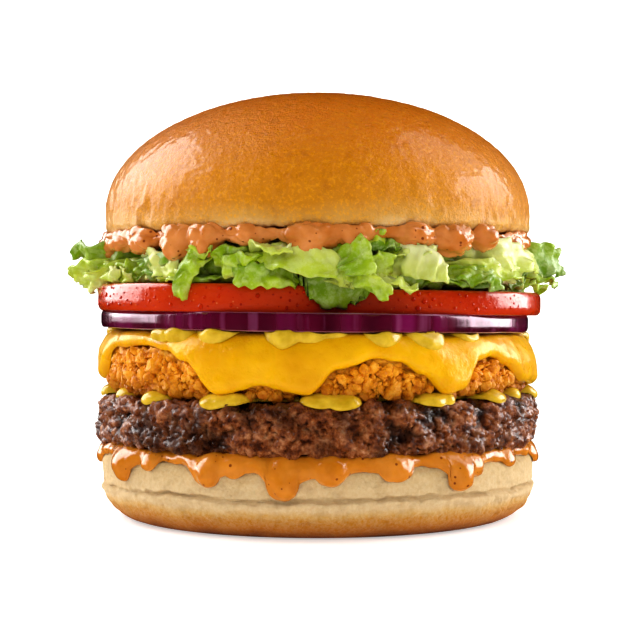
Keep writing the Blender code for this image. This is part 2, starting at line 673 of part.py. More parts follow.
def lettuce():
    """A heap of shredded iceberg: an uneven core, and strips that stick out and hang down round it."""
    green = food("iceberg", (150, 182, 62), 0.35, 0.15)

    def section_at(bearing):
        rows = HEAP.section(flat=(0.0, 0.7), top_steps=3, bottom_steps=2)
        uneven = 1 + 0.035 * ripple(bearing, 4.0, 6.0)
        made = []
        for radius, height in rows:
            low_share = 1 - (height - HEAP_LOW) / (HEAP_HIGH - HEAP_LOW)
            lean = -math.tan(TOPPING_TILT) * radius * math.sin(bearing) * low_share
            made.append((radius * uneven if radius > 0.8 * HEAP_RADIUS else radius, height + lean))
        return made

    core = turned("lettuce", section_at, evenly(32), green)
    bpy.context.view_layer.update()
    names = ["tomato_left", "tomato_right", "tomato_back", "onion_slice", "sauce_upper", "bun_crown"]
    occupied = [grown_tree(bpy.data.objects[name], 0.45 * MM) for name in names]
    strips = bpy.data.collections.new("shreds")
    bpy.context.scene.collection.children.link(strips)
    draw = random.Random(17)
    for index, (first, last, reach, start_height, end_height, width, roll) in enumerate(SHREDS):
        for attempt in range(SHRED_TRIES):
            loose = attempt / SHRED_TRIES
            shift = draw.uniform(-7, 7) * loose
            data = shred(
                math.radians(first + shift), math.radians(last + shift),
                (reach + draw.uniform(-1, 2) * loose) * MM,
                (start_height + draw.uniform(-3, 1.5) * loose) * MM,
                (end_height + draw.uniform(-3, 1.5) * loose) * MM,
                width * (1 - 0.4 * loose) * MM, math.radians(roll + draw.uniform(-40, 40) * loose),
                draw.uniform(0.4, 1.2) * MM, draw.uniform(0, 6.28),
            )
            tree = BVHTree.FromPolygons(*data)
            if any(tree.overlap(other) for other in occupied):
                continue
            occupied.append(tree)
            mesh = bpy.data.meshes.new("shred")
            mesh.from_pydata(data[0], [], data[1])
            strips.objects.link(bpy.data.objects.new("shred", mesh))
            break
        else:
            print("no room for shred", index)
    union = core.modifiers.new("heap", "BOOLEAN")
    union.operation = "UNION"
    union.operand_type = "COLLECTION"
    union.collection = strips
    union.solver = "EXACT"
    graph = bpy.context.evaluated_depsgraph_get()
    fused = bpy.data.meshes.new_from_object(core.evaluated_get(graph))
    core.modifiers.clear()
    core.data = largest_shell(fused)
    core.data.name = "lettuce"
    core.data.set_sharp_from_angle(angle=math.radians(50))
    for made in list(strips.objects):
        bpy.data.objects.remove(made)
    bpy.data.collections.remove(strips)


def main():
    for made in list(bpy.data.objects):
        bpy.data.objects.remove(made)
    heel()
    lower_sauce()
    beef()
    chicken()
    cheese()
    mustards()
    onion_and_tomatoes()
    upper_sauce()
    crown()
    lettuce()


main()
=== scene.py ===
# %% [markdown]
# This lesson dresses a stacked burger in Blender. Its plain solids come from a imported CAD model.
# Each layer of real food is rebuilt here with the surface that the eye expects: crust, crumb, crags, gloss.
# Sizes are in millimetres through MM, and a bearing is an angle seen from above: 0 is the front, 90 the right.

import math
import random

import bmesh
import bpy
import numpy as np
from mathutils import Matrix, Vector, noise


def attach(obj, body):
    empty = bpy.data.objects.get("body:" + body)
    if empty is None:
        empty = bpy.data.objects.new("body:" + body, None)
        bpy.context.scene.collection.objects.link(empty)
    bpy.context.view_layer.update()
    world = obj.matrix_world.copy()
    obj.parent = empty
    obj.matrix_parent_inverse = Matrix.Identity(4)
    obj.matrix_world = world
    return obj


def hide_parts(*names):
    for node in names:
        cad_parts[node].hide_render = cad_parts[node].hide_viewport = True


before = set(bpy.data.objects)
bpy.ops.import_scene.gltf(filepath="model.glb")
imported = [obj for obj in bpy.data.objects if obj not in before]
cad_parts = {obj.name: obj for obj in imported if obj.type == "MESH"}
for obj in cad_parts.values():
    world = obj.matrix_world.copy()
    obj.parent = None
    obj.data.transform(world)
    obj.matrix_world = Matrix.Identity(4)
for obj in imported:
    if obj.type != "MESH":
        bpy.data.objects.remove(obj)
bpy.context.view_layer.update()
MM = 0.001
# Blender seeds its noise vectors from the clock, so the seed is set here and every run gives the same burger.
noise.seed_set(4)
print("nodes:", sorted(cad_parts))

# %% [markdown]
# The photograph was taken level with the cheese, from close by, with a short telephoto lens.
# So the undersides of the upper layers show a little, and the bases of the lower ones curve downwards.
# A level camera with a small shift keeps the burger's sides upright, as a product photographer would.

# %% The camera
EYE = (0.65 * MM, -405 * MM, 52.3 * MM)
eye = bpy.data.cameras.new("camera")
eye.lens = 88.0
eye.sensor_width = 36.0
# The picture is 640 pixels high, and the burger sits ten of them higher than the lens points.
eye.shift_y = -10 / 640
eye.clip_start = 0.01
camera = bpy.data.objects.new("camera", eye)
camera.location = EYE
camera.rotation_euler = (math.radians(90), 0, 0)
bpy.context.scene.collection.objects.link(camera)
bpy.context.scene.camera = camera

# %% [markdown]
# Materials are trees of shader nodes. One helper fills a node's inputs, and one adds a node with them, so that
# every finish below reads as a short list. Colours are written as a painter's hex values. A hex value is sRGB,
# made for screens, and the renderer counts in linear light, so one function converts it.
# Inputs given as a list go to the sockets in order, and None leaves one as it is. A noise's third input is its
# scale, in patches per metre, so 1000 / 22 draws patches of 22 mm; its detail and roughness come next.
# A range's inputs are a value, the range that it comes from, and the range that it is stretched to.

# %% Helpers for materials
NOISE, RANGE, RAMP = "ShaderNodeTexNoise", "ShaderNodeMapRange", "ShaderNodeValToRGB"
MIX, MATH, BUMP = "ShaderNodeMix", "ShaderNodeMath", "ShaderNodeBump"
# A mix of two colours has its factor, first and second colour on sockets 0, 6 and 7.
COLOURS = {"data_type": "RGBA", "out": 2}


def linear(hex_colour):
    """The linear colour of an sRGB hex value."""
    channels = [int(hex_colour[i : i + 2], 16) / 255 for i in (1, 3, 5)]
    return (*[c / 12.92 if c <= 0.04045 else ((c + 0.055) / 1.055) ** 2.4 for c in channels], 1.0)


def fill(tree, node, inputs):
    """Links or sets a node's inputs, given by name or in order."""
    for name, value in inputs.items() if isinstance(inputs, dict) else enumerate(inputs):
        if isinstance(value, bpy.types.NodeSocket):
            tree.links.new(value, node.inputs[name])
        elif value is not None:
            node.inputs[name].default_value = linear(value) if isinstance(value, str) else value


def add(tree, kind, inputs=(), out=0, stops=(), **settings):
    """Adds a node with its properties, inputs and (position, colour) stops, and gives one output."""
    made = tree.nodes.new(kind)
    for name, value in settings.items():
        setattr(made, name, value)
    fill(tree, made, inputs)
    if stops:
        elements = made.color_ramp.elements
        while len(elements) < len(stops):
            elements.new(1.0)
        for element, (position, colour) in zip(elements, stops):
            element.position, element.color = position, linear(colour)
    return made.outputs[out] if made.outputs else made


def start_material(name):
    """A material with its tree, its shader and the object's own coordinates."""
    material = bpy.data.materials.new(name)
    material.use_nodes = True
    tree = material.node_tree
    return material, tree, tree.nodes["Principled BSDF"], add(tree, "ShaderNodeTexCoord", out="Object")


# %% [markdown]
# A food stylist's burger stands on a seamless pale sweep: a floor that curves up into a wall, with no horizon.
# Two large soft lights stand a little behind it on the left and on the right, and a weak one above.
# They draw the bright patches down both sides and leave the front to gentler fill.

# %% The sweep and the lights


def translucent_sweep():
    """The floor and backdrop, one curved sheet."""
    rows = [(-0.8, 0.0), (1.2, 0.0)]
    for step in range(1, 13):
        angle = math.pi / 2 * step / 12
        rows.append((1.2 + 0.4 * math.sin(angle), 0.4 * (1 - math.cos(angle))))
    rows.append((1.6, 0.62))
    points = [(x, y, z) for y, z in rows for x in (-0.9, 0.9)]
    faces = [(2 * i, 2 * i + 1, 2 * i + 3, 2 * i + 2) for i in range(len(rows) - 1)]
    mesh = bpy.data.meshes.new("sweep")
    mesh.from_pydata(points, [], faces)
    mesh.shade_smooth()
    made = bpy.data.objects.new("sweep", mesh)
    bpy.context.scene.collection.objects.link(made)
    sheet, tree, shader, where = start_material("matt_translucent_acrylic_sheet")
    # The sheet is lit from below as well, as on a shooting table, so it stays pale from every side.
    glow = {"Emission Color": "#ffffff", "Emission Strength": 0.38}
    fill(tree, shader, {"Base Color": "#f4f3f1", "Roughness": 0.7, **glow})
    mesh.materials.append(sheet)
    # Black flags stand round such a set, so the skins mirror the lights and not the sheet.
    made.visible_glossy = False


def softbox(name, bearing, elevation, distance, width, height, watts, reflected=True):
    """A rectangular light that faces the middle of the burger."""
    data = bpy.data.lights.new(name, "AREA")
    data.shape = "RECTANGLE"
    data.size, data.size_y, data.energy = width, height, watts
    turn, rise = math.radians(bearing), math.radians(elevation)
    target = Vector((0, 0, 0.055))
    offset = Vector((math.sin(turn) * math.cos(rise), -math.cos(turn) * math.cos(rise), math.sin(rise)))
    made = bpy.data.objects.new(name, data)
    made.location = target + offset * distance
    made.rotation_euler = offset.to_track_quat("Z", "Y").to_euler()
    made.visible_glossy = reflected
    bpy.context.scene.collection.objects.link(made)


translucent_sweep()
softbox("left_softbox", -110, 26, 0.62, 0.58, 0.6, 4.5)
softbox("right_softbox", 102, 15, 0.66, 0.5, 0.42, 3.6)
softbox("top_softbox", 104, 50, 0.6, 0.4, 0.32, 0.55)
# The fill is cross-polarised in such a studio: it lights the front, but no surface mirrors it.
softbox("front_fill", 0, 26, 1.1, 1.3, 0.9, 5.4, reflected=False)
world = bpy.data.worlds.new("studio")
world.use_nodes = True
room = world.node_tree
seen = add(room, "ShaderNodeBackground", {"Color": "#ffffff", "Strength": 0.9})
lighting = add(room, "ShaderNodeBackground", {"Color": "#ffffff", "Strength": 0.2})
looked_at = add(room, "ShaderNodeLightPath", out="Is Camera Ray")
both = add(room, "ShaderNodeMixShader", [looked_at, lighting, seen])
room.links.new(both, room.nodes["World Output"].inputs["Surface"])
world.cycles_visibility.glossy = False
bpy.context.scene.world = world
bpy.context.scene.view_settings.view_transform = "Standard"
bpy.context.scene.view_settings.look = "Medium High Contrast"

# The backdrop has a light of its own, high behind the burger and turned away from it.
wall_light = bpy.data.lights.new("backdrop_light", "AREA")
wall_light.shape = "RECTANGLE"
wall_light.size, wall_light.size_y, wall_light.energy = 2.4, 0.3, 16.0
wall_lamp = bpy.data.objects.new("backdrop_light", wall_light)
wall_lamp.location = (0, 0.8, 0.9)
wall_lamp.rotation_euler = (math.radians(47), 0, 0)
bpy.context.scene.collection.objects.link(wall_lamp)

# %% [markdown]
# Every layer of a burger is round, so most pieces are sections turned about the burger's axis.
# Unlike a lathe, the section may change with the bearing, so sauce can drip here and cheese can hang there.
# The sizes below are those of the CAD model, so each dressed layer fills the space of its solid.

# %% Sizes of the layers
GAP = 0.3 * MM
HEEL_RADIUS, HEEL_TOP = 55.2 * MM, 16.8 * MM
CREASE_HEIGHT = 9.4 * MM
BEEF_RADIUS, BEEF_LOW, BEEF_HIGH = 57.0 * MM, 18.6 * MM, 31.2 * MM
CHICKEN_RADIUS, CHICKEN_LOW, CHICKEN_HIGH = 53.6 * MM, 32.5 * MM, 44.0 * MM
ONION_RADIUS, ONION_OFFSET, ONION_THICKNESS, ONION_MIDDLE = 54.7 * MM, -0.6 * MM, 4.5 * MM, 49.5 * MM
TOPPING_TILT = math.radians(0.7)
TOMATO_RADIUS = 39.5 * MM
TOMATOES = {"left": (-15.4, -10.0, 6.2), "right": (16.6, -7.0, 5.3), "back": (0.5, 15.0, 5.8)}
HEAP_RADIUS, HEAP_LOW, HEAP_HIGH = 50.5 * MM, 59.0 * MM, 68.8 * MM
UPPER_SAUCE_LOW, UPPER_SAUCE_HIGH, UPPER_SAUCE_RIM = 69.3 * MM, 70.5 * MM, 52.0 * MM
CROWN_RADIUS, CROWN_LOW, CROWN_WIDEST, CROWN_TOP = 54.3 * MM, 70.9 * MM, 77.2 * MM, 107.7 * MM

# Bearing in degrees, half width, drop below the heel's top edge.
LOWER_DRIPS = [
    (-84, 7.0, 2.0), (-57, 4.4, 4.4), (-46, 3.4, 1.5), (-27, 4.2, 3.8), (-20, 4.0, 1.8), (-8, 4.0, 6.4),
    (3, 4.4, 3.2), (19, 5.6, 2.6), (36, 3.8, 5.2), (41, 4.4, 2.2), (57, 3.6, 1.2), (82, 6.0, 2.0),
    (108, 4.6, 4.6), (129, 4.2, 2.6), (150, 3.8, 5.8), (159, 4.6, 2.4), (182, 4.6, 4.0), (206, 4.2, 5.4),
    (214, 4.0, 2.2), (233, 4.4, 3.2), (256, 4.0, 5.0),
]
# Bearing in degrees, half width, how far it stands out, how far it hangs below the crown.
UPPER_LUMPS = [
    (-78, 8.0, 3.0, 5.2), (-63, 5.4, 2.8, 3.0), (-51, 6.4, 3.0, 3.8), (-37, 5.2, 4.2, 6.0),
    (-29, 4.4, 4.4, 4.6), (-17, 6.0, 2.2, 2.4), (-1, 6.0, 3.4, 4.8), (9, 5.0, 3.2, 2.6),
    (25, 5.0, 3.4, 3.0), (36, 5.6, 4.6, 4.8), (47, 3.6, 4.0, 3.0), (68, 7.0, 2.8, 3.2), (97, 6.0, 3.8, 4.4),
    (121, 6.4, 3.2, 3.0), (147, 5.6, 4.4, 5.4), (156, 4.6, 3.6, 3.2), (184, 7.0, 3.4, 4.6),
    (212, 5.6, 4.4, 4.8), (221, 4.4, 3.4, 2.8), (247, 6.6, 3.4, 3.8),
]
# Bearing in degrees, height of the melted slice's lower edge in mm.
CHEESE_EDGE = [
    (-80, 34.9), (-66, 42.6), (-51, 43.4), (-41, 42.4), (-34, 40.2), (-25, 33.2), (-14, 35.0), (-2, 33.2),
    (5, 38.8), (14, 41.4), (20, 40.6), (26, 37.8), (33, 33.4), (37, 34.4), (43, 40.8), (49, 41.8),
    (56, 39.6), (68, 34.8), (86, 34.0), (100, 38.6), (114, 41.6), (128, 38.0), (139, 33.6), (152, 35.4),
    (164, 33.6), (176, 39.6), (192, 41.8), (206, 38.2), (216, 33.8), (224, 34.6), (235, 41.2), (248, 41.8),
    (262, 36.0),
]
# Where a shred leaves the heap and where it ends: bearing, bearing; then the end's distance from the axis,
# the two heights, the width, and how far its broad face turns up from facing outwards.
SHREDS = [
    (-66, -86, 60.0, 64.5, 66.8, 6.0, 35), (-68, -89, 61.5, 62.5, 60.4, 6.0, 30),
    (-62, -78, 58.5, 61.5, 57.6, 4.5, 10), (-64, -36, 54.5, 63.6, 62.4, 6.0, 15),
    (-76, -58, 56.0, 61.0, 60.4, 4.0, 25), (-54, -31, 55.5, 60.4, 59.9, 3.2, 5),
    (-27, -33, 57.5, 66.0, 55.0, 4.2, 0), (-25, 5, 56.0, 65.8, 61.8, 7.5, 25),
    (-19, -6, 56.5, 66.4, 65.6, 5.0, 55), (5, 10, 58.2, 66.8, 60.0, 8.0, 5),
    (1, 16, 57.4, 61.6, 55.6, 4.2, 8), (15, 31, 57.0, 64.0, 60.6, 7.0, 20),
    (14, 30, 54.5, 66.4, 65.6, 4.4, 30), (34, 71, 56.5, 65.4, 64.0, 7.5, 15),
    (31, 61, 56.0, 61.6, 60.9, 4.6, 20), (33, 48, 57.0, 60.2, 58.2, 4.0, 10),
    (67, 88, 61.5, 65.0, 63.6, 7.5, 30), (70, 84, 59.5, 62.0, 58.4, 4.0, 20),
    (92, 112, 58.0, 64.5, 62.0, 7.0, 20), (96, 104, 60.0, 61.0, 57.5, 4.6, 10),
    (112, 142, 56.5, 65.5, 64.0, 7.0, 25), (118, 126, 59.5, 62.0, 56.4, 5.0, 5),
    (136, 160, 57.0, 61.5, 61.0, 5.6, 20), (146, 170, 56.5, 66.0, 65.0, 6.0, 40),
    (160, 164, 58.5, 63.5, 56.6, 5.2, 0), (170, 198, 56.5, 62.5, 61.0, 6.6, 20),
    (180, 204, 57.5, 66.4, 65.0, 5.6, 45), (200, 206, 59.5, 62.5, 57.0, 4.6, 5),
    (208, 236, 56.5, 64.5, 63.0, 7.4, 20), (214, 238, 56.0, 60.8, 60.4, 4.4, 15),
    (236, 244, 60.0, 64.0, 58.4, 5.6, 10), (242, 268, 57.0, 66.0, 65.0, 6.0, 35),
    (246, 270, 57.0, 61.4, 60.8, 5.0, 20),
]

# %% Helpers for turned shapes


def on_bearing(bearing, radius, height):
    """The point at that bearing and distance from the burger's axis."""
    return Vector((radius * math.sin(bearing), -radius * math.cos(bearing), height))


def eased(table, bearing):
    """A value read from a table of (degrees, value), eased from one entry to the next, all the way round."""
    rows = sorted((angle % 360, value) for angle, value in table)
    rows = [(rows[-1][0] - 360, rows[-1][1]), *rows, (rows[0][0] + 360, rows[0][1])]
    degrees = math.degrees(bearing) % 360
    for (low, first), (high, last) in zip(rows, rows[1:]):
        if degrees <= high:
            share = (degrees - low) / (high - low)
            return first + (last - first) * share * share * (3 - 2 * share)
    return rows[-1][1]


def lumps_at(table, bearing, radius, column, power=2.0):
    """The largest of the rounded lumps that a table places round the rim, at this bearing."""
    best = 0.0
    for angle, half_width, *sizes in table:
        off = (bearing - math.radians(angle) + math.pi) % (2 * math.pi) - math.pi
        share = abs(off) * radius / (half_width * MM)
        best = max(best, sizes[column] * MM * math.exp(-(share**power)))
    return best


def ripple(bearing, waves, seed):
    """Gentle unevenness round an outline, from -1 to 1."""
    return noise.noise(Vector((math.cos(bearing) * waves, math.sin(bearing) * waves, seed)))


def clamp(value, low=0.0, high=1.0):
    return min(high, max(low, value))


class Slab:
    """A round layer, flat above and below, with a quarter ellipse (inwards, upwards) at each edge."""

    def __init__(self, radius, low, high, low_edge, high_edge):
        self.radius, self.low, self.high = radius, low, high
        self.low_edge, self.high_edge = low_edge, high_edge

    def bottom_at(self, radius):
        inwards, upwards = self.low_edge
        share = clamp((radius - self.radius + inwards) / inwards)
        return self.low + upwards * (1 - math.sqrt(1 - share * share))

    def section(self, flat, top_steps, wall_rows, bottom_steps):
        """Points (radius, height) from the top's middle, round the edge, to the base's middle."""
        inwards, upwards = self.high_edge
        points = [((self.radius - inwards) * share, self.high) for share in flat]
        for step in range(top_steps + 1):
            angle = math.pi / 2 * step / top_steps
            out = self.radius - inwards + inwards * math.sin(angle)
            points.append((out, self.high - upwards * (1 - math.cos(angle))))
        top, bottom = self.high - upwards, self.low + self.low_edge[1]
        points += [(self.radius, top + (bottom - top) * (row + 1) / (wall_rows + 1)) for row in range(wall_rows)]
        inwards, upwards = self.low_edge
        for step in range(bottom_steps + 1):
            angle = math.pi / 2 * step / bottom_steps
            out = self.radius - inwards + inwards * math.cos(angle)
            points.append((out, self.low + upwards * (1 - math.sin(angle))))
        return points + [((self.radius - inwards) * share, self.low) for share in reversed(flat)]

    def station(self, travel):
        """(radius, height, normal) that far along a line over the top, round the edge and straight down."""
        inwards, upwards = self.high_edge
        flat = self.radius - inwards
        round_edge = math.pi / 2 * math.sqrt((inwards**2 + upwards**2) / 2)
        if travel <= flat:
            return travel, self.high, (0.0, 1.0)
        if travel >= flat + round_edge:
            return self.radius, self.high - upwards - (travel - flat - round_edge), (1.0, 0.0)
        angle = math.pi / 2 * (travel - flat) / round_edge
        normal = Vector((upwards * math.sin(angle), inwards * math.cos(angle))).normalized()
        return flat + inwards * math.sin(angle), self.high - upwards * (1 - math.cos(angle)), tuple(normal)

    def travel_to(self, height):
        """How far that line runs before it comes down to this height."""
        inwards, upwards = self.high_edge
        flat = self.radius - inwards
        round_edge = math.pi / 2 * math.sqrt((inwards**2 + upwards**2) / 2)
        drop = self.high - height
        if drop >= upwards:
            return flat + round_edge + drop - upwards
        return flat + round_edge * math.acos(1 - drop / upwards) / (math.pi / 2)


HEEL = Slab(HEEL_RADIUS, 0.0, HEEL_TOP, (9.4 * MM, 9.0 * MM), (2.6 * MM, 2.6 * MM))
BEEF = Slab(BEEF_RADIUS, BEEF_LOW, BEEF_HIGH, (4.2 * MM, 4.0 * MM), (4.6 * MM, 4.0 * MM))
CHICKEN = Slab(CHICKEN_RADIUS, CHICKEN_LOW, CHICKEN_HIGH, (4.4 * MM, 4.0 * MM), (3.2 * MM, 3.2 * MM))
CROWN = Slab(CROWN_RADIUS, CROWN_LOW, CROWN_TOP, (2.4 * MM, 2.4 * MM), (CROWN_RADIUS, CROWN_TOP - CROWN_WIDEST))
HEAP = Slab(HEAP_RADIUS, HEAP_LOW, HEAP_HIGH, (3.0 * MM, 3.0 * MM), (8.0 * MM, 5.6 * MM))


def turned(name, section_at, around):
    """A closed round mesh. Its section, (radius, height) from top to base, may change with the bearing."""
    sections = [section_at(2 * math.pi * step / around) for step in range(around)]
    depth = len(sections[0]) - 2
    points = [(0, 0, sections[0][0][1]), (0, 0, sections[0][-1][1])]
    for step, section in enumerate(sections):
        points += [on_bearing(2 * math.pi * step / around, *point) for point in section[1:-1]]
    faces = []
    for step in range(around):
        here, there = 2 + step * depth, 2 + (step + 1) % around * depth
        faces.append((0, here, there))
        faces.append((1, there + depth - 1, here + depth - 1))
        for row in range(depth - 1):
            faces.append((here + row, here + row + 1, there + row + 1, there + row))
    mesh = bpy.data.meshes.new(name)
    mesh.from_pydata(points, [], faces)
    mesh.update()
    return mesh


def outwards(mesh):
    """The mesh with all its faces turned to point outwards."""
    shape = bmesh.new()
    shape.from_mesh(mesh)
    bmesh.ops.recalc_face_normals(shape, faces=shape.faces)
    shape.to_mesh(mesh)
    shape.free()
    return mesh


def relief(mesh, height_at):
    """Moves each point of a mesh along its normal by height_at(point)."""
    count = len(mesh.vertices)
    places = np.empty(count * 3)
    normals = np.empty(count * 3)
    mesh.vertices.foreach_get("co", places)
    mesh.vertex_normals.foreach_get("vector", normals)
    places, normals = places.reshape(-1, 3), normals.reshape(-1, 3)
    heights = np.array([height_at(Vector(place)) for place in places])
    mesh.vertices.foreach_set("co", (places + normals * heights[:, None]).ravel())
    # The materials read this height, in mm, to paint shade into what lies deep.
    mesh.attributes.new("relief", "FLOAT", "POINT").data.foreach_set("value", heights / MM)
    mesh.update()
    return mesh


def leaned(mesh):
    """Tips the upper side to the right, as much as the toppings lean, and leaves the lower side level."""
    for vertex in mesh.vertices:
        share = clamp((vertex.co.z - CHICKEN_LOW) / (CHICKEN_HIGH - CHICKEN_LOW))
        vertex.co.z -= math.tan(TOPPING_TILT) * vertex.co.x * share
    return mesh


def piece(name, mesh, material, slot, *nodes):
    """A finished piece that rides with the burger and stands for the CAD nodes it is built from."""
    mesh.shade_smooth()
    mesh.materials.clear()
    mesh.materials.append(material)
    made = bpy.data.objects.new(name, mesh)
    bpy.context.scene.collection.objects.link(made)
    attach(made, "root")
    if nodes:
        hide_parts(*nodes)
    print(name, len(mesh.polygons), "faces")
    return made


# %% [markdown]
# Crumbs and droplets repeat by the hundred, so Geometry Nodes scatter them over a bare emitter surface.
# One tree serves both: it spreads points with a least spacing, puts a faceted ball on each at a random size and
# turn, joins them into one mesh, and then shifts the mesh by noise so that no two balls stay alike.

# %% Scattering with Geometry Nodes


def scatter_tree(name, material, upright):
    """A tree that covers its mesh with lumps. Upright ones lie flat on it, others are turned anyhow."""
    tree = bpy.data.node_groups.new(name, "GeometryNodeTree")
    for label, kind, side in (
        ("Surface", "NodeSocketGeometry", "INPUT"), ("Spacing", "NodeSocketFloat", "INPUT"),
        ("Smallest", "NodeSocketFloat", "INPUT"), ("Largest", "NodeSocketFloat", "INPUT"),
        ("Flatness", "NodeSocketFloat", "INPUT"), ("Roughness", "NodeSocketFloat", "INPUT"),
        ("Grain", "NodeSocketFloat", "INPUT"), ("Seed", "NodeSocketInt", "INPUT"),
        ("Lumps", "NodeSocketGeometry", "OUTPUT"),
    ):
        tree.interface.new_socket(name=label, in_out=side, socket_type=kind)
    given = add(tree, "NodeGroupInput").node.outputs
    apart = {"Distance Min": given["Spacing"], "Density Max": 4e6, "Seed": given["Seed"]}
    spread = add(
        tree, "GeometryNodeDistributePointsOnFaces", {"Mesh": given["Surface"], **apart}, distribute_method="POISSON"
    )
    ball = add(tree, "GeometryNodeMeshIcoSphere", {"Radius": 1.0, "Subdivisions": 2})
    draw = add(tree, "FunctionNodeRandomValue", {2: 0.0, 3: 1.0, 8: given["Seed"]}, 1)
    # The power of an even draw gives many small lumps and few large ones.
    skewed = add(tree, MATH, [draw, 2.2], operation="POWER")
    size = add(tree, RANGE, {"Value": skewed, "To Min": given["Smallest"], "To Max": given["Largest"]})
    least, most = (0.75, 0.75, 0.75), (1.25, 1.25, 1.25)
    uneven = add(tree, "FunctionNodeRandomValue", [least, most], data_type="FLOAT_VECTOR")
    flat = add(tree, "ShaderNodeCombineXYZ", [1.0, 1.0, given["Flatness"]])
    shaped = add(tree, "ShaderNodeVectorMath", [uneven, flat], operation="MULTIPLY")
    scaled = add(tree, "ShaderNodeVectorMath", {0: shaped, "Scale": size}, operation="SCALE")
    if upright:
        turn = spread.node.outputs["Rotation"]
    else:
        whole_turn = (6.28, 6.28, 6.28)
        turn = add(tree, "FunctionNodeRandomValue", [(0, 0, 0), whole_turn], data_type="FLOAT_VECTOR")
    stand = {"Points": spread, "Instance": ball, "Rotation": turn, "Scale": scaled}
    placed = add(tree, "GeometryNodeInstanceOnPoints", stand)
    joined = add(tree, "GeometryNodeRealizeInstances", [placed])
    where = add(tree, "GeometryNodeInputPosition")
    knobs = add(tree, NOISE, {"Vector": where, "Scale": given["Grain"], "Detail": 2.0}, "Color")
    centred = add(tree, "ShaderNodeVectorMath", [knobs, (0.5, 0.5, 0.5)], operation="SUBTRACT")
    moved = add(tree, "ShaderNodeVectorMath", {0: centred, "Scale": given["Roughness"]}, operation="SCALE")
    shifted = add(tree, "GeometryNodeSetPosition", {"Geometry": joined, "Offset": moved})
    finished = add(tree, "GeometryNodeSetMaterial", {"Geometry": shifted, "Material": material})
    add(tree, "NodeGroupOutput", [finished])
    return tree


def scattered(name, emitter, tree, **values):
    """The plain mesh that a scatter tree makes on an emitter mesh."""
    made = bpy.data.objects.new(name, emitter)
    bpy.context.scene.collection.objects.link(made)
    live = made.modifiers.new("scatter", "NODES")
    live.node_group = tree
    for item in tree.interface.items_tree:
        if item.in_out == "INPUT" and item.name in values:
            live[item.identifier] = values[item.name]
    mesh = bpy.data.meshes.new_from_object(made.evaluated_get(bpy.context.evaluated_depsgraph_get()))
    bpy.data.objects.remove(made)
    mesh.name = name
    return mesh


def patch(name, rows, allowed, around=360):
    """An open surface through rows, each (radius, height) at a bearing, kept only where allowed(bearing, row) says."""
    count = len(rows(0.0))
    points, faces = [], []
    for step in range(around):
        bearing = 2 * math.pi * step / around
        points += [on_bearing(bearing, *row) for row in rows(bearing)]
    for step in range(around):
        here, there = step * count, (step + 1) % around * count
        for row in range(count - 1):
            if allowed(2 * math.pi * step / around, row / (count - 1)):
                faces.append((here + row, here + row + 1, there + row + 1, there + row))
    mesh = bpy.data.meshes.new(name)
    mesh.from_pydata(points, [], faces)
    return mesh


# %% [markdown]
# The crown is brioche: egg wash bakes to a thin, glossy, amber skin over a pale crumb.
# The dough creeps up the tin as it rises, so the skin is finely wrinkled just above its soft, paler rim.
# The dome is half an ellipse turned about the axis. Its wrinkles are real relief, and only its pores are bump.

# %% The crown
def crown_section(bearing):
    rows = CROWN.section(flat=(0.0,), top_steps=120, wall_rows=16, bottom_steps=10)[1:]
    made = [rows[0]]
    for radius, height in rows[1:-1]:
        dent = 0.6 * MM * noise.noise(on_bearing(bearing, radius, height) / (26 * MM) + Vector((3, 2, 1)))
        made.append((radius + min(0.0, dent) * radius / CROWN_RADIUS, height))
    return made + [rows[-1]]


def crown_relief(point):
    """Upright wrinkles above the rim, which fade towards the smooth top, and orange-peel dimples all over."""
    bearing = math.atan2(point.x, -point.y)
    low = clamp((92 * MM - point.z) / (17 * MM))
    across = Vector((math.cos(bearing) * 13, math.sin(bearing) * 13, point.z / (11 * MM)))
    across += noise.noise_vector(point / (6 * MM)) * 0.25
    fine = Vector((math.cos(bearing) * 30, math.sin(bearing) * 30, point.z / (6 * MM)))
    wrinkle = abs(noise.noise(across)) * 1.2 + abs(noise.noise(fine)) * 0.8
    patchy = clamp(0.6 + 1.2 * noise.noise(point / (14 * MM)))
    dimple = noise.noise(point / (5 * MM)) * 0.06 + noise.noise(point / (1.6 * MM)) * 0.12
    return ((0.28 - wrinkle) * low**1.5 * patchy + dimple) * MM


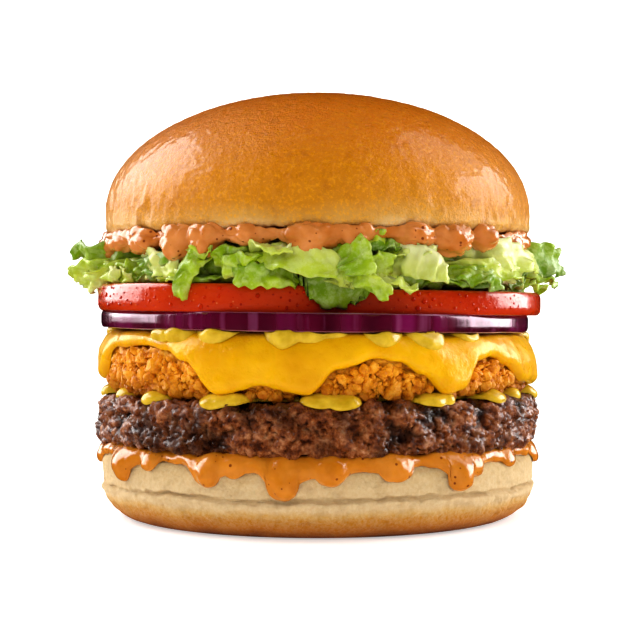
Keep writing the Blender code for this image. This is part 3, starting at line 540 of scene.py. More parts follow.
def crust_material():
    """Egg-washed brioche crust: amber where it baked hardest, tan and then cream towards the rim."""
    material, tree, shader, where = start_material("egg_washed_brioche_crust")
    height = add(tree, "ShaderNodeSeparateXYZ", [where], "Z")
    patches = add(tree, NOISE, [where, None, 1000 / 22, 2, 0.55])
    shifted = add(tree, MATH, [patches, 9 * MM, height], operation="MULTIPLY_ADD")
    level = add(tree, RANGE, [shifted, 75 * MM, 112 * MM])
    baked = add(tree, RAMP, [level], stops=[
        (0.0, "#e3bc80"), (0.06, "#d29c4c"), (0.18, "#c8801a"), (0.36, "#d07e00"), (0.62, "#da7a00"),
        (0.85, "#de7400"), (1.0, "#d26600"),
    ])
    # Painted glints: a pattern of dimples about a millimetre across paints golden highlights into the colour.
    dimples = add(tree, NOISE, [where, None, 1000 / 0.8, 4, 0.7])
    painted_glints = add(tree, RANGE, [dimples, 0.5, 0.62, 0.0, 0.5])
    with_painted_glints = add(tree, MIX, {0: painted_glints, 6: baked, 7: "#f2a614"}, **COLOURS)
    spots = add(tree, NOISE, [where, None, 1000 / 3.5, 3, 0.6])
    freckles = add(tree, RANGE, [spots, 0.55, 0.75, 0.0, 0.35])
    sheen = add(tree, NOISE, [where, None, 1000 / 1.4, 4, 0.7])
    pores = add(tree, NOISE, [where, None, 1000 / 0.9, 4, 0.7])
    fill(tree, shader, {
        "Base Color": add(tree, MIX, {0: freckles, 6: with_painted_glints, 7: "#943c00"}, **COLOURS),
        "Roughness": add(tree, RANGE, [sheen, 0.3, 0.7, 0.24, 0.4]),
        "Specular Tint": "#ffc27c",
        # The egg wash is brushed over the dome and hardly reaches the rim.
        "Coat Weight": add(tree, RANGE, [height, 76 * MM, 84 * MM, 0.15, 0.5]),
        "Coat Roughness": 0.14,
        "Normal": add(tree, BUMP, {"Height": pores, "Distance": 0.6 * MM}),
    })
    return material


crust = crust_material()
crown = relief(outwards(turned("crown", crown_section, 600)), crown_relief)
piece("crown", crown, crust, "glazed_crust", "bun_crown")

# %% [markdown]
# The heel is the same dough, but its sides touched other buns in the oven, so they stayed pale and soft.
# Only the bottom edge, which lay on the hot sheet, baked brown. A crease runs round where the dough folded.

# %% The heel


def heel_section(bearing):
    swell = 0.5 * MM * ripple(bearing, 1.3, 4.0)
    wander = 1.2 * MM * ripple(bearing, 2.0, 9.0) + 0.6 * MM * ripple(bearing, 16.0, 5.0)
    cut = 1.6 * MM * (0.7 + 0.7 * ripple(bearing, 3.0, 2.0))
    rows = []
    for radius, height in HEEL.section(flat=(0.0, 0.5, 0.8, 0.93), top_steps=8, wall_rows=26, bottom_steps=44):
        grown, inwards = 0.0, 0.0
        if radius > 0.8 * HEEL_RADIUS:
            grown = min(0.0, max(0.0, math.sin(math.pi * clamp(height / HEEL_TOP))) * swell)
            off = (height - CREASE_HEIGHT - wander) / MM
            inwards = cut * (math.exp(-((off / 0.32) ** 2)) - 0.35 * math.exp(-(((off + 1.4) / 1.1) ** 2)))
        rows.append((radius + grown - inwards, height))
    return rows


def heel_relief(point):
    """Low rolls and pits of soft crumb on the side, a puckered band below the crease, and a smooth base."""
    if point.z < 0.3 * MM or point.z > HEEL_TOP - 0.2 * MM:
        return 0.0
    rise = clamp(point.z / (3 * MM))
    bearing = math.atan2(point.x, -point.y)
    along = Vector((math.cos(bearing) * 9, math.sin(bearing) * 9, point.z / (2.2 * MM)))
    rolls = noise.noise(along) * 0.4
    upright = Vector((math.cos(bearing) * 38, math.sin(bearing) * 38, point.z / (5 * MM)))
    band = math.exp(-(((point.z - 7.6 * MM) / (2.2 * MM)) ** 2)) + 0.3
    puckers = -abs(noise.noise(upright)) * 0.7 * band
    pits = -max(0.0, noise.noise(point / (1.5 * MM)) - 0.25) * 0.9
    return (rolls + pits + puckers + noise.noise(point / (4 * MM)) * 0.15 - 0.08) * rise * MM


def crumb_material():
    """Soft bun side: a fine, dry, suede-like crumb, browned where it met the baking sheet."""
    material, tree, shader, where = start_material("soft_bun_side")
    height = add(tree, "ShaderNodeSeparateXYZ", [where], "Z")
    patches = add(tree, NOISE, [where, None, 1000 / 12, 3, 0.55])
    shifted = add(tree, MATH, [patches, 3.4 * MM, height], operation="MULTIPLY_ADD")
    level = add(tree, RANGE, [shifted, 1.6 * MM, 18 * MM])
    baked = add(tree, RAMP, [level], stops=[
        (0.0, "#602800"), (0.06, "#924800"), (0.16, "#b86a00"), (0.3, "#c88418"), (0.37, "#d8a658"),
        (0.45, "#e2c08e"), (0.75, "#e0bf8c"), (1.0, "#d2ad74"),
    ])
    grain = add(tree, RANGE, [add(tree, NOISE, [where, None, 1000 / 0.8, 4, 0.7]), 0.35, 0.68])
    upwards = add(tree, RANGE, [level, 0.1, 0.42, 0.05, 0.45])
    paler = add(tree, MATH, [grain, upwards], operation="MULTIPLY")
    grained = add(tree, MIX, {0: paler, 6: baked, 7: "#f2dcb0"}, **COLOURS)
    stains = add(tree, NOISE, [where, None, 1000 / 4, 4, 0.65])
    dusk = add(tree, RANGE, [stains, 0.5, 0.75, 0.0, 0.35])
    pits = add(tree, NOISE, [where, None, 1000, 5, 0.75])
    fill(tree, shader, {
        "Base Color": add(tree, MIX, {0: dusk, 6: grained, 7: "#a87838"}, **COLOURS),
        "Roughness": 0.7,
        "Specular IOR Level": 0.25,
        "Subsurface Weight": 0.1,
        "Subsurface Radius": (0.002, 0.0014, 0.0007),
        "Normal": add(tree, BUMP, {"Height": pits, "Distance": 0.9 * MM}),
    })
    return material


crumb = crumb_material()
heel = relief(outwards(turned("heel", heel_section, 600)), heel_relief)
piece("heel", heel, crumb, "bun_crumb", "bun_heel")

# %% [markdown]
# Burger sauce is an emulsion of oil, tomato and egg with ground spice in it: thick, glossy, faintly see-through.
# It creeps over an edge, and each drip swells at its tip. A section with a rounded lip is turned round the bun,
# and its reach grows wherever the table of drips says so.

# %% The two sauces


def coat_section(slab, reach, height_at, steps, from_rim, under_at):
    """The section of a layer that lies on a slab and flows over its edge as far as reach."""
    start = slab.radius - slab.high_edge[0] - from_rim
    outer, inner = [], []
    for step in range(steps + 1):
        # Steps crowd towards the tip, where the lip is round.
        travel = start + (reach - start) * math.sin(math.pi / 2 * step / steps)
        radius, height, (out, up) = slab.station(travel)
        under = under_at(travel)
        full = under + GAP + (height_at(travel) if step < steps else 0.0)
        low = under + GAP * 0.3
        outer.append((radius + out * full, height + up * full))
        inner.append((radius + out * low, height + up * low))
    middle = slab.high + under_at(start) + GAP
    return [(0.0, middle + height_at(start)), *outer, *reversed(inner[::4]), (0.0, middle - GAP * 0.7)]


def round_lip(travel, reach, lip):
    """A share from 1 down to 0 that rounds a layer's edge."""
    share = clamp((reach - travel) / lip)
    return math.sqrt(1 - (1 - share) ** 2)


class Blob:
    """A drip or lobe at a bearing on the rim: half its width, how far down its tip comes, and how thick it is."""

    def __init__(self, degrees, half_width, tip, thickness, radius, nose=1.0, bead=False):
        self.bearing, self.half, self.tip = math.radians(degrees), half_width * MM, tip
        self.thickness, self.radius, self.nose = thickness * MM, radius, half_width * nose * MM
        self.bead = bead

    def share(self, bearing):
        off = (bearing - self.bearing + math.pi) % (2 * math.pi) - math.pi
        return off * self.radius / self.half

    def reach(self, bearing):
        share = self.share(bearing)
        return self.tip - self.nose + self.nose * math.sqrt(1 - share * share) if abs(share) < 1 else -1.0

    def height(self, bearing, travel):
        share = self.share(bearing)
        down = (travel - self.tip + self.nose) / self.nose
        down = down if self.bead else max(0.0, down)
        inside = 1 - share * share - down * down
        return self.thickness * math.sqrt(inside) if inside > 0 else 0.0


def poured(
    slab, base_reach, base_height, lip, blobs, blend=4, steps=40, from_rim=6 * MM, under_at=lambda travel: 0.0,
    web=0.0,
):
    """A section_at function for a layer with blobs round its rim, which run smoothly into one another."""

    def section_at(bearing):
        reach = base_reach(bearing)
        for blob in blobs:
            reach += web * max(0.0, blob.tip - reach) * math.exp(-((blob.share(bearing) / 1.7) ** 2))
        near = [blob for blob in blobs if abs(blob.share(bearing)) < 1]
        whole = max([reach, *(blob.reach(bearing) for blob in near)])

        def height_at(travel):
            flat = base_height(bearing, travel) * round_lip(travel, reach, lip) if travel < reach else 0.0
            parts = [flat, *(blob.height(bearing, travel) for blob in near)]
            return sum(part**blend for part in parts) ** (1 / blend)

        return coat_section(slab, whole, height_at, steps, from_rim, under_at)

    return section_at


LOWER_REACH = HEEL.travel_to(HEEL_TOP - 1.2 * MM)


def lower_sauce_reach(bearing):
    """Where no drip is, the sauce only just comes out at the rim."""
    return LOWER_REACH - 1.8 * MM + 1.6 * MM * ripple(bearing, 5.0, 1.0) + 0.5 * MM * ripple(bearing, 17.0, 3.0)


def lower_sauce_height(bearing, travel):
    share = clamp((travel - HEEL_RADIUS + 3.2 * MM) / (3.6 * MM))
    # Behind the rim it stands up until it touches the beef.
    standing = math.exp(-(((travel - 52.6 * MM) / (2.0 * MM)) ** 2)) * (1.3 + 0.6 * ripple(bearing, 7.0, 2.0))
    return 1.2 * MM + 0.7 * MM * share * share + standing * MM + 0.3 * MM * ripple(bearing, 8.0, 6.0)


def drips():
    """Each drip of the table as a broad run with a fatter bead at its tip."""
    made = []
    for degrees, half, drop in LOWER_DRIPS:
        tip = LOWER_REACH + drop * MM
        made.append(Blob(degrees, half * 0.86, tip - 0.2 * MM, 1.7, HEEL_RADIUS, 0.9))
        if drop > 3:
            made.append(Blob(degrees + 0.5, half * 0.72, tip, 2.2 + 0.06 * drop, HEEL_RADIUS, 1.1, bead=True))
    return made


def upper_sauce_section(bearing):
    out = 1.0 * MM + lumps_at(UPPER_LUMPS, bearing, UPPER_SAUCE_RIM, 0, 2.6)
    down = 1.3 * MM + lumps_at(UPPER_LUMPS, bearing, UPPER_SAUCE_RIM, 1, 2.6)
    lump = clamp((out - 1.6 * MM) / (2.4 * MM))
    rise = 1.5 * MM * lump
    rows = [(0.0, UPPER_SAUCE_HIGH), (0.8 * UPPER_SAUCE_RIM, UPPER_SAUCE_HIGH), (52.4 * MM, UPPER_SAUCE_HIGH)]
    top, bottom = UPPER_SAUCE_HIGH + rise, UPPER_SAUCE_HIGH - down
    for corner in range(41):
        angle = math.pi * corner / 40
        inner = UPPER_SAUCE_RIM + (0.5 + 1.7 * lump) * MM * (1 + math.cos(angle)) / 2
        radius = inner + (UPPER_SAUCE_RIM + out - inner) * math.sin(angle) ** 0.8
        rows.append((radius, (top + bottom) / 2 + (top - bottom) / 2 * math.cos(angle)))
    return rows + [(0.94 * UPPER_SAUCE_RIM, UPPER_SAUCE_LOW), (0.0, UPPER_SAUCE_LOW)]


def sauce_relief(point):
    """Slow swells, and small bumps where relish lies under the surface."""
    if point.xy.length < 50 * MM:
        return 0.0
    return (noise.noise(point / (5 * MM)) * 0.45 + noise.noise(point / (2.2 * MM)) * 0.26) * MM


def upper_sauce_relief(point):
    """Lumps of relish and sauce pressed out under the crown."""
    if point.xy.length < 53 * MM:
        return 0.0
    chunks = nuggets(point + Vector((3, 7, 1)), 4.2 * MM) * 0.7 - 0.35
    return (chunks + noise.noise(point / (6 * MM)) * 0.9 + noise.noise(point / (1.8 * MM)) * 0.25) * MM


def sauce_material(name, body, deep):
    """Burger sauce: a glossy orange emulsion with dark specks of paprika and pepper."""
    material, tree, shader, where = start_material(name)
    swirls = add(tree, RANGE, [add(tree, NOISE, [where, None, 1000 / 5, 3, 0.55]), 0.35, 0.7])
    tone = add(tree, MIX, {0: swirls, 6: body, 7: deep}, **COLOURS)
    cells = add(tree, "ShaderNodeTexVoronoi", {"Vector": where, "Scale": 1000 / 1.5}).node.outputs
    draw = add(tree, "ShaderNodeSeparateColor", [cells["Color"]], "Red")
    size = add(tree, RANGE, [draw, 0.5, 1.0, 0.0, 0.3])
    near = add(tree, MATH, [size, cells["Distance"]], operation="SUBTRACT")
    specks = add(tree, RANGE, [near, 0.0, 0.05, 0.0, 0.85])
    waves = add(tree, NOISE, [where, None, 1000 / 1.3, 3, 0.55])
    fill(tree, shader, {
        "Base Color": add(tree, MIX, {0: specks, 6: tone, 7: "#6e2304"}, **COLOURS),
        "Roughness": 0.22,
        "Subsurface Weight": 0.15,
        "Subsurface Radius": (0.002, 0.0008, 0.0003),
        "Coat Weight": 0.7,
        "Coat Roughness": 0.06,
        "Normal": add(tree, BUMP, {"Height": waves, "Distance": 0.2 * MM, "Strength": 0.7}),
    })
    return material


def nuggets(point, size):
    """Rounded lumps of about that size, with creases between them, from 0 to 1."""
    warped = point + noise.noise_vector(point / (size * 1.7)) * size * 0.45
    near = noise.voronoi(warped / size)[0]
    return clamp(1 - 1.25 * near[0] * near[0]) * clamp((near[1] - near[0]) * 4)


flow = poured(HEEL, lower_sauce_reach, lower_sauce_height, 2.2 * MM, drips(), blend=3, web=0.45)
lower_sauce = relief(outwards(turned("lower_sauce", flow, 720)), sauce_relief)
lower_orange = sauce_material("lower_burger_sauce", "#d6862a", "#c0700e")
piece("lower_sauce", lower_sauce, lower_orange, "burger_sauce", "sauce_lower")
upper_sauce = relief(outwards(turned("upper_sauce", upper_sauce_section, 640)), upper_sauce_relief)
upper_orange = sauce_material("upper_burger_sauce", "#d88a48", "#c06c24")
piece("upper_sauce", upper_sauce, upper_orange, "burger_sauce_upper", "sauce_upper")

# %% [markdown]
# Beef mince sears into a dark crust of small rounded nuggets with clefts between them.
# Cell noise gives the nuggets and ridged noise the clefts. Both move a dense mesh, so the outline is craggy too.

# %% The beef patty


def beef_section(bearing):
    rows = BEEF.section(flat=(0.0, 0.4, 0.7, 0.82, 0.88, 0.92, 0.96), top_steps=18, wall_rows=18, bottom_steps=14)
    # The side shrinks in a little as it cooks, and the rounded edges above and below it stay full.
    middle, half = (BEEF_LOW + BEEF_HIGH) / 2, (BEEF_HIGH - BEEF_LOW) / 2
    waist = 1.2 * MM
    return [
        (radius - (waist * (1 - ((height - middle) / half) ** 2) if radius > 0.9 * BEEF_RADIUS else 0.0), height)
        for radius, height in rows
    ]


def beef_relief(point):
    """Billows: folded noise makes round lumps with sharp creases, at four sizes, and broad clefts cut between them."""
    broad = noise.noise(point / (12 * MM)) * 1.1
    cleft = max(0.0, noise.noise(point / (8 * MM) + Vector((2, 5, 8))) - 0.14)
    side = 1.0 if point.xy.length > 0.88 * BEEF_RADIUS else 0.3
    bent = point + noise.noise_vector(point / (5 * MM)) * 1.2 * MM
    lumps = 0.0
    for size, depth in ((6.5, 1.7), (3.0, 1.0), (1.5, 0.7)):
        lumps += abs(noise.noise(bent / (size * MM) + Vector((size, 1, 3)))) * depth
    grains = nuggets(bent, 3.1 * MM) * 0.4 + nuggets(bent + Vector((4, 1, 7)), 1.7 * MM) * 0.4
    return (side * (broad + lumps * 1.2 + grains - 3.4 * cleft) - 1.5) * MM


def beef_material():
    """Seared beef mince: a dark brown, fatty crust with shade painted nearly black into its clefts, which leaves its
    high spots redder.
    """
    material, tree, shader, where = start_material("seared_beef_mince")
    tone = add(tree, RAMP, [add(tree, NOISE, [where, None, 1000 / 2.4, 6, 0.75])], stops=[
        (0.3, "#2e1006"), (0.42, "#6e3416"), (0.52, "#a65c2e"), (0.62, "#cc8858"), (0.74, "#ecba8e"),
    ])
    char = add(tree, RANGE, [add(tree, NOISE, [where, None, 1000 / 9, 3, 0.55]), 0.46, 0.62, 0.0, 0.72])
    charred = add(tree, MIX, {0: char, 6: tone, 7: "#2a1006"}, **COLOURS)
    # Painted shade: the deepest parts of the relief are darkened almost to black.
    depth = add(tree, "ShaderNodeAttribute", out="Fac", attribute_name="relief")
    deep = add(tree, RANGE, [depth, -1.8, -0.6, 0.9, 0.0])
    with_painted_crevice_shade = add(tree, MIX, {0: deep, 6: charred, 7: "#1a0703"}, **COLOURS)
    # Painted shade: concave spots, found by their pointiness, are darkened nearly to black.
    pits = add(tree, "ShaderNodeNewGeometry", out="Pointiness")
    painted_cavity_shade = add(tree, RANGE, [pits, 0.4, 0.485, 0.85, 0.0])
    # Fat shines where it lies on the crust, and the dry crust between does not.
    fat = add(tree, RANGE, [add(tree, NOISE, [where, None, 1000 / 2, 4, 0.7]), 0.4, 0.55])
    grit = add(tree, NOISE, [where, None, 1000 / 1.2, 5, 0.8])
    fill(tree, shader, {
        "Base Color": add(tree, MIX, {0: painted_cavity_shade, 6: with_painted_crevice_shade, 7: "#120401"}, **COLOURS),
        "Roughness": add(tree, RANGE, [fat, 0.0, 1.0, 0.5, 0.2]),
        "Coat Weight": add(tree, RANGE, [fat, 0.0, 1.0, 0.25, 0.9]),
        "Coat Roughness": 0.1,
        "Normal": add(tree, BUMP, {"Height": grit, "Distance": 1.1 * MM}),
    })
    return material


beef = relief(outwards(turned("beef", beef_section, 960)), beef_relief)
piece("beef", beef, beef_material(), "grilled_beef", "beef_patty")

# %% [markdown]
# Breading is crisp crumbs fried on to the chicken: small knobs close together, and larger flakes that stick out.
# The patty's own side carries the small knobs as relief.

# %% The breaded patty


def chicken_section(bearing):
    return CHICKEN.section(flat=(0.0, 0.5, 0.8, 0.92), top_steps=8, wall_rows=16, bottom_steps=12)


def chicken_relief(point):
    lumps = 0.5 + 0.5 * noise.noise(point / (8 * MM))
    crumbs = abs(noise.noise(point / (3.2 * MM) + Vector((4, 4, 1))))
    knobs = nuggets(point, 2.6 * MM) * 0.8 + nuggets(point + Vector((5, 5, 5)), 1.3 * MM) * 0.5
    outer = 1.0 if point.z < CHICKEN_HIGH - 0.5 * MM else 0.0
    return (knobs * outer - 1.5 * min(1.0, 1.1 * crumbs + 0.4 * lumps) - 0.5) * MM


def breading_material():
    """Deep-fried breading: golden orange crumbs, browner on their tips, darker towards the bottom, and with painted
    shade in the gaps between them.
    """
    material, tree, shader, where = start_material("fried_breading")
    height = add(tree, "ShaderNodeSeparateXYZ", [where], "Z")
    tone = add(tree, RAMP, [add(tree, NOISE, [where, None, 1000 / 2.6, 4, 0.65])], stops=[
        (0.3, "#b05c0c"), (0.43, "#da8614"), (0.56, "#eea022"), (0.74, "#f8bc48"),
    ])
    # The colour turns darker towards the bottom of the patty.
    low = add(tree, RANGE, [height, 32 * MM, 37.5 * MM, 0.6, 0.0])
    browned = add(tree, MIX, {0: low, 6: tone, 7: "#8a3d06"}, **COLOURS)
    # Painted shade: gaps between crumbs, found by their pointiness, are darkened to deep brown.
    pits = add(tree, "ShaderNodeNewGeometry", out="Pointiness")
    painted_cavity_shade = add(tree, RANGE, [pits, 0.42, 0.5, 0.7, 0.0])
    oil = add(tree, NOISE, [where, None, 1000 / 1.5, 3, 0.55])
    grit = add(tree, NOISE, [where, None, 1000 / 0.6, 4, 0.7])
    fill(tree, shader, {
        "Base Color": add(tree, MIX, {0: painted_cavity_shade, 6: browned, 7: "#5e2202"}, **COLOURS),
        "Roughness": add(tree, RANGE, [oil, 0.35, 0.65, 0.28, 0.55]),
        "Specular Tint": "#ffe0b8",
        "Subsurface Weight": 0.1,
        "Subsurface Radius": (0.0015, 0.0006, 0.0002),
        "Normal": add(tree, BUMP, {"Height": grit, "Distance": 0.25 * MM, "Strength": 0.8}),
    })
    return material


def crumb_rows(bearing):
    return CHICKEN.section(flat=(0.97,), top_steps=4, wall_rows=4, bottom_steps=8)[1:-1]


def crumb_allowed(bearing, share):
    """Crumbs cover the side below the cheese's edge, and the rounded base rim."""
    rows = crumb_rows(bearing)
    radius, height = rows[round(share * (len(rows) - 1))]
    edge = min(eased(CHEESE_EDGE, bearing + shift) for shift in (-0.02, 0.0, 0.02)) * MM
    return height < edge - 0.9 * MM and height < CHICKEN_HIGH - 1.5 * MM


breading = breading_material()
chicken = leaned(relief(outwards(turned("chicken", chicken_section, 600)), chicken_relief))
piece("chicken", chicken, breading, "fried_breading", "chicken_patty")
crumb_tree = scatter_tree("breading_crumbs", breading, upright=False)
crumbs = scattered(
    "crumbs", patch("crumb_bed", crumb_rows, crumb_allowed), crumb_tree, Spacing=1.15 * MM, Smallest=0.5 * MM,
    Largest=1.8 * MM, Flatness=0.8, Roughness=1.9 * MM, Grain=800.0, Seed=4,
)
piece("breading_crumbs", leaned(crumbs), breading, "fried_breading")
crumbs.shade_flat()

# %% [markdown]
# A slice of processed cheese goes soft before it melts, so it drapes like heavy cloth and its edge rounds over.
# Where it hangs it is thicker. It is one more coat, over the breaded patty this time, with an edge read from a table.

# %% The melted cheese


def cheese_reach(bearing):
    return CHICKEN.travel_to(eased(CHEESE_EDGE, bearing) * MM)


def cheese_height(bearing, travel):
    share = clamp((travel - CHICKEN_RADIUS + CHICKEN.high_edge[0]) / (6 * MM))
    # The slice swells round the rim until it touches the onion above.
    rim = math.exp(-(((travel - 49.5 * MM) / (3.2 * MM)) ** 4))
    return 1.6 * MM + 0.6 * MM * share + 1.0 * MM * rim


def cheese_relief(point):
    """Soft folds that run downwards, and slow waves where the crumbs press from below."""
    if point.xy.length < 47 * MM:
        return 0.0
    bearing = math.atan2(point.x, -point.y)
    hang = clamp((44 * MM - point.z) / (8 * MM))
    folds = noise.noise(Vector((math.cos(bearing) * 6, math.sin(bearing) * 6, point.z / (14 * MM)))) * 0.9 * hang
    waves = noise.noise(point / (8 * MM)) * 0.55 + noise.noise(point / (3.2 * MM)) * 0.14
    waves += max(0.0, noise.noise(point / (2.2 * MM)) - 0.25) * 0.35
    return (folds + waves) * MM


def cheese_material():
    """Melted processed cheese: even, glossy, slightly see-through yellow-orange."""
    material, tree, shader, where = start_material("melted_processed_cheese")
    swirls = add(tree, RANGE, [add(tree, NOISE, [where, None, 1000 / 9, 2, 0.55]), 0.35, 0.7])
    grease = add(tree, NOISE, [where, None, 1000 / 3.5, 3, 0.55])
    waves = add(tree, NOISE, [where, None, 1000 / 2.2, 3, 0.55])
    fill(tree, shader, {
        "Base Color": add(tree, MIX, {0: swirls, 6: "#ecb204", 7: "#dc9a00"}, **COLOURS),
        "Roughness": add(tree, RANGE, [grease, 0.35, 0.65, 0.26, 0.38]),
        "Specular Tint": "#ffe6a0",
        "Subsurface Weight": 0.3,
        "Subsurface Radius": (0.004, 0.002, 0.0004),
        "Coat Weight": 0.3,
        "Coat Roughness": 0.2,
        "Normal": add(tree, BUMP, {"Height": waves, "Distance": 0.45 * MM, "Strength": 0.8}),
    })
    return material


cheese_shape = turned("cheese", poured(CHICKEN, cheese_reach, cheese_height, 2.2 * MM, [], from_rim=8 * MM), 640)
cheese = leaned(relief(outwards(cheese_shape), cheese_relief))
piece("cheese", cheese, cheese_material(), "melted_cheese", "cheese_slice")

# %% [markdown]
# Mustard starts as a bead from a squeeze bottle, and the layer above presses it flat until it comes out at the rim.
# There it swells into glossy lobes that lie over one another. Each lobe is a blob, like a drip of the sauce,
# but a roof holds its height down wherever the next layer rests on it.

# %% The mustard
# Bearing in degrees, half width, how far past the shoulder's start it comes, thickness, in mm.
LOWER_LOBES = [
    (-63, 3.6, 2.2, 2.2), (-46, 4.4, 3.2, 2.0), (-25, 5.0, 4.2, 2.1), (-20.5, 3.6, 3.2, 2.2),
    (1, 5.6, 3.4, 1.8), (6, 5.0, 3.9, 1.9), (29.5, 4.2, 3.6, 2.1), (33, 3.2, 3.0, 2.0), (52, 4.2, 3.4, 2.3),
    (64, 3.6, 2.4, 2.2), (88, 5.4, 3.8, 2.2), (93, 4.0, 2.8, 2.2), (112, 4.6, 3.4, 2.2),
    (133, 5.2, 4.0, 2.2), (138, 4.0, 2.8, 2.2), (158, 6.2, 3.6, 2.1), (181, 4.6, 3.8, 2.2),
    (186, 3.6, 2.8, 2.2), (203, 5.4, 3.4, 2.2), (226, 4.6, 4.0, 2.2), (231, 3.6, 2.8, 2.2),
    (247, 6.0, 3.6, 2.1), (272, 4.8, 3.2, 2.3),
]
UPPER_LOBES = [
    (-43, 4.6, 3.2, 2.6), (-37, 5.2, 3.0, 2.8), (-26, 7.0, 3.0, 3.0), (-8, 5.4, 3.3, 2.6),
    (-2, 7.8, 2.6, 2.6), (4, 6.6, 2.0, 2.6), (16.5, 6.0, 2.9, 2.4), (28.5, 5.4, 3.5, 2.4),
    (42, 4.6, 2.4, 2.2), (84, 6.4, 2.4, 2.6), (96, 5.4, 3.2, 2.4), (112, 6.2, 2.0, 2.8),
    (127, 5.0, 3.4, 2.4), (141, 7.0, 2.2, 3.2), (160, 5.4, 3.4, 2.4), (173, 6.4, 2.4, 2.6),
    (190, 5.6, 3.0, 2.4), (205, 7.2, 2.2, 3.4), (221, 5.0, 3.6, 2.4), (234, 6.2, 2.2, 2.8),
    (258, 5.6, 2.6, 2.4), (272, 4.6, 2.0, 2.4),
]


def under_chicken(radius):
    """The height that the lower mustard stays below."""
    return CHICKEN.bottom_at(radius) - 0.1 * MM if radius < CHICKEN_RADIUS else 35.4 * MM


def under_onion(radius):
    """The height that the upper mustard stays below: the onion slice's lower face, and nothing in front of its rim."""
    return ONION_MIDDLE - ONION_THICKNESS / 2 - 0.02 * MM if radius < 54.3 * MM else 51 * MM


def lobes(table, slab):
    shoulder = slab.radius - slab.high_edge[0]
    return [Blob(at, half, shoulder + tip * MM, thick, slab.radius, 0.7) for at, half, tip, thick in table]


def pressed(section_at, roof_at, swell_at):
    """A section held down by a roof, which swells up again in front of it as much as swell_at(bearing) says."""

    def pressed_at(bearing):
        swell = swell_at(bearing) * MM
        return [
            (radius, min(height, roof_at(radius)) + swell * clamp((radius - 54.5 * MM) / (1.2 * MM)))
            for radius, height in section_at(bearing)
        ]

    return pressed_at


def mustard_relief(point):
    if point.xy.length < 49 * MM:
        return 0.0
    return (noise.noise(point / (3.2 * MM)) * 0.4 + noise.noise(point / (6 * MM)) * 0.5 - 0.1) * MM


def mustard_material():
    """Yellow mustard: a smooth, wet paste, opaque with a faint green cast where it is thin."""
    material, tree, shader, where = start_material("yellow_mustard")
    swirls = add(tree, RANGE, [add(tree, NOISE, [where, None, 1000 / 3, 3, 0.55]), 0.35, 0.7])
    waves = add(tree, NOISE, [where, None, 1000 / 1.4, 3, 0.55])
    fill(tree, shader, {
        "Base Color": add(tree, MIX, {0: swirls, 6: "#e0ba34", 7: "#c09814"}, **COLOURS),
        "Roughness": 0.22,
        "Subsurface Weight": 0.15,
        "Subsurface Radius": (0.0015, 0.001, 0.0002),
        "Coat Weight": 0.25,
        "Coat Roughness": 0.1,
        "Normal": add(tree, BUMP, {"Height": waves, "Distance": 0.14 * MM, "Strength": 0.6}),
    })
    return material


mustard = mustard_material()
lower_flow = poured(
    BEEF, lambda bearing: 48 * MM, lambda bearing, travel: 1.3 * MM, 1.2 * MM, lobes(LOWER_LOBES, BEEF), 6
)
lower_layer = pressed(lower_flow, under_chicken, lambda bearing: 0.0)
lower_mustard = relief(outwards(turned("lower_mustard", lower_layer, 720)), mustard_relief)
piece("lower_mustard", lower_mustard, mustard, "mustard", "mustard_lower")


# Where the upper mustard stands up in front of the onion, because it was squeezed out hardest there.
SWELLS = [(-60, 0), (-44, 0.8), (-26, 1), (-17, 0), (100, 0), (120, 1), (150, 0), (190, 1), (225, 0)]
upper_flow = poured(
    CHICKEN, lambda bearing: 48.5 * MM, lambda bearing, travel: 1.3 * MM, 1.2 * MM, lobes(UPPER_LOBES, CHICKEN), 8,
    under_at=lambda travel: cheese_height(0.0, travel) + 0.1 * MM,
)
upper_layer = pressed(upper_flow, under_onion, lambda bearing: 1.7 * eased(SWELLS, bearing))
upper_mustard = relief(outwards(turned("upper_mustard", upper_layer, 720)), mustard_relief)
piece("upper_mustard", leaned(upper_mustard), mustard, "mustard", "mustard_upper")

# %% [markdown]
# A slice across a red onion shows its outermost ring as a deep purple skin with fine pale lines from root to tip.
# The two cut rims are lighter, because the colour sits in a thin layer. The slice is a slab with a soft bulge.

# %% The onion


def slice_section(radius, thickness, bulge):
    """The section of a slice about its own middle plane, with a bulging skin."""
    half = thickness / 2
    return Slab(radius, -half, half, (bulge, 0.7 * half), (bulge, 0.7 * half)).section((0.0, 0.5, 0.8, 0.95), 10, 3, 10)


def slice_mesh(name, radius, thickness, bulge, centre, wobble, seed, around=480):
    """A slice in the place that the toppings' lean gives it."""
    section = slice_section(radius, thickness, bulge)

    def section_at(bearing):
        uneven = 1 + wobble * ripple(bearing, 1.4, seed)
        return [(r * uneven, z) for r, z in section]

    mesh = outwards(turned(name, section_at, around))
    lean = Matrix.Translation((0, 0, ONION_MIDDLE)) @ Matrix.Rotation(TOPPING_TILT, 4, "Y")
    mesh.transform(lean @ Matrix.Translation(centre))
    return mesh


def onion_relief(point):
    """Shallow ribs that run from root to tip, seen here as upright ridges on the skin."""
    if point.xy.length < 50 * MM:
        return 0.0
    bearing = math.atan2(point.x, -point.y)
    ribs = noise.noise(Vector((math.cos(bearing) * 22, math.sin(bearing) * 22, point.z / (9 * MM))))
    return (ribs * 0.05 + noise.noise(point / (12 * MM)) * 0.2 - 0.1) * MM


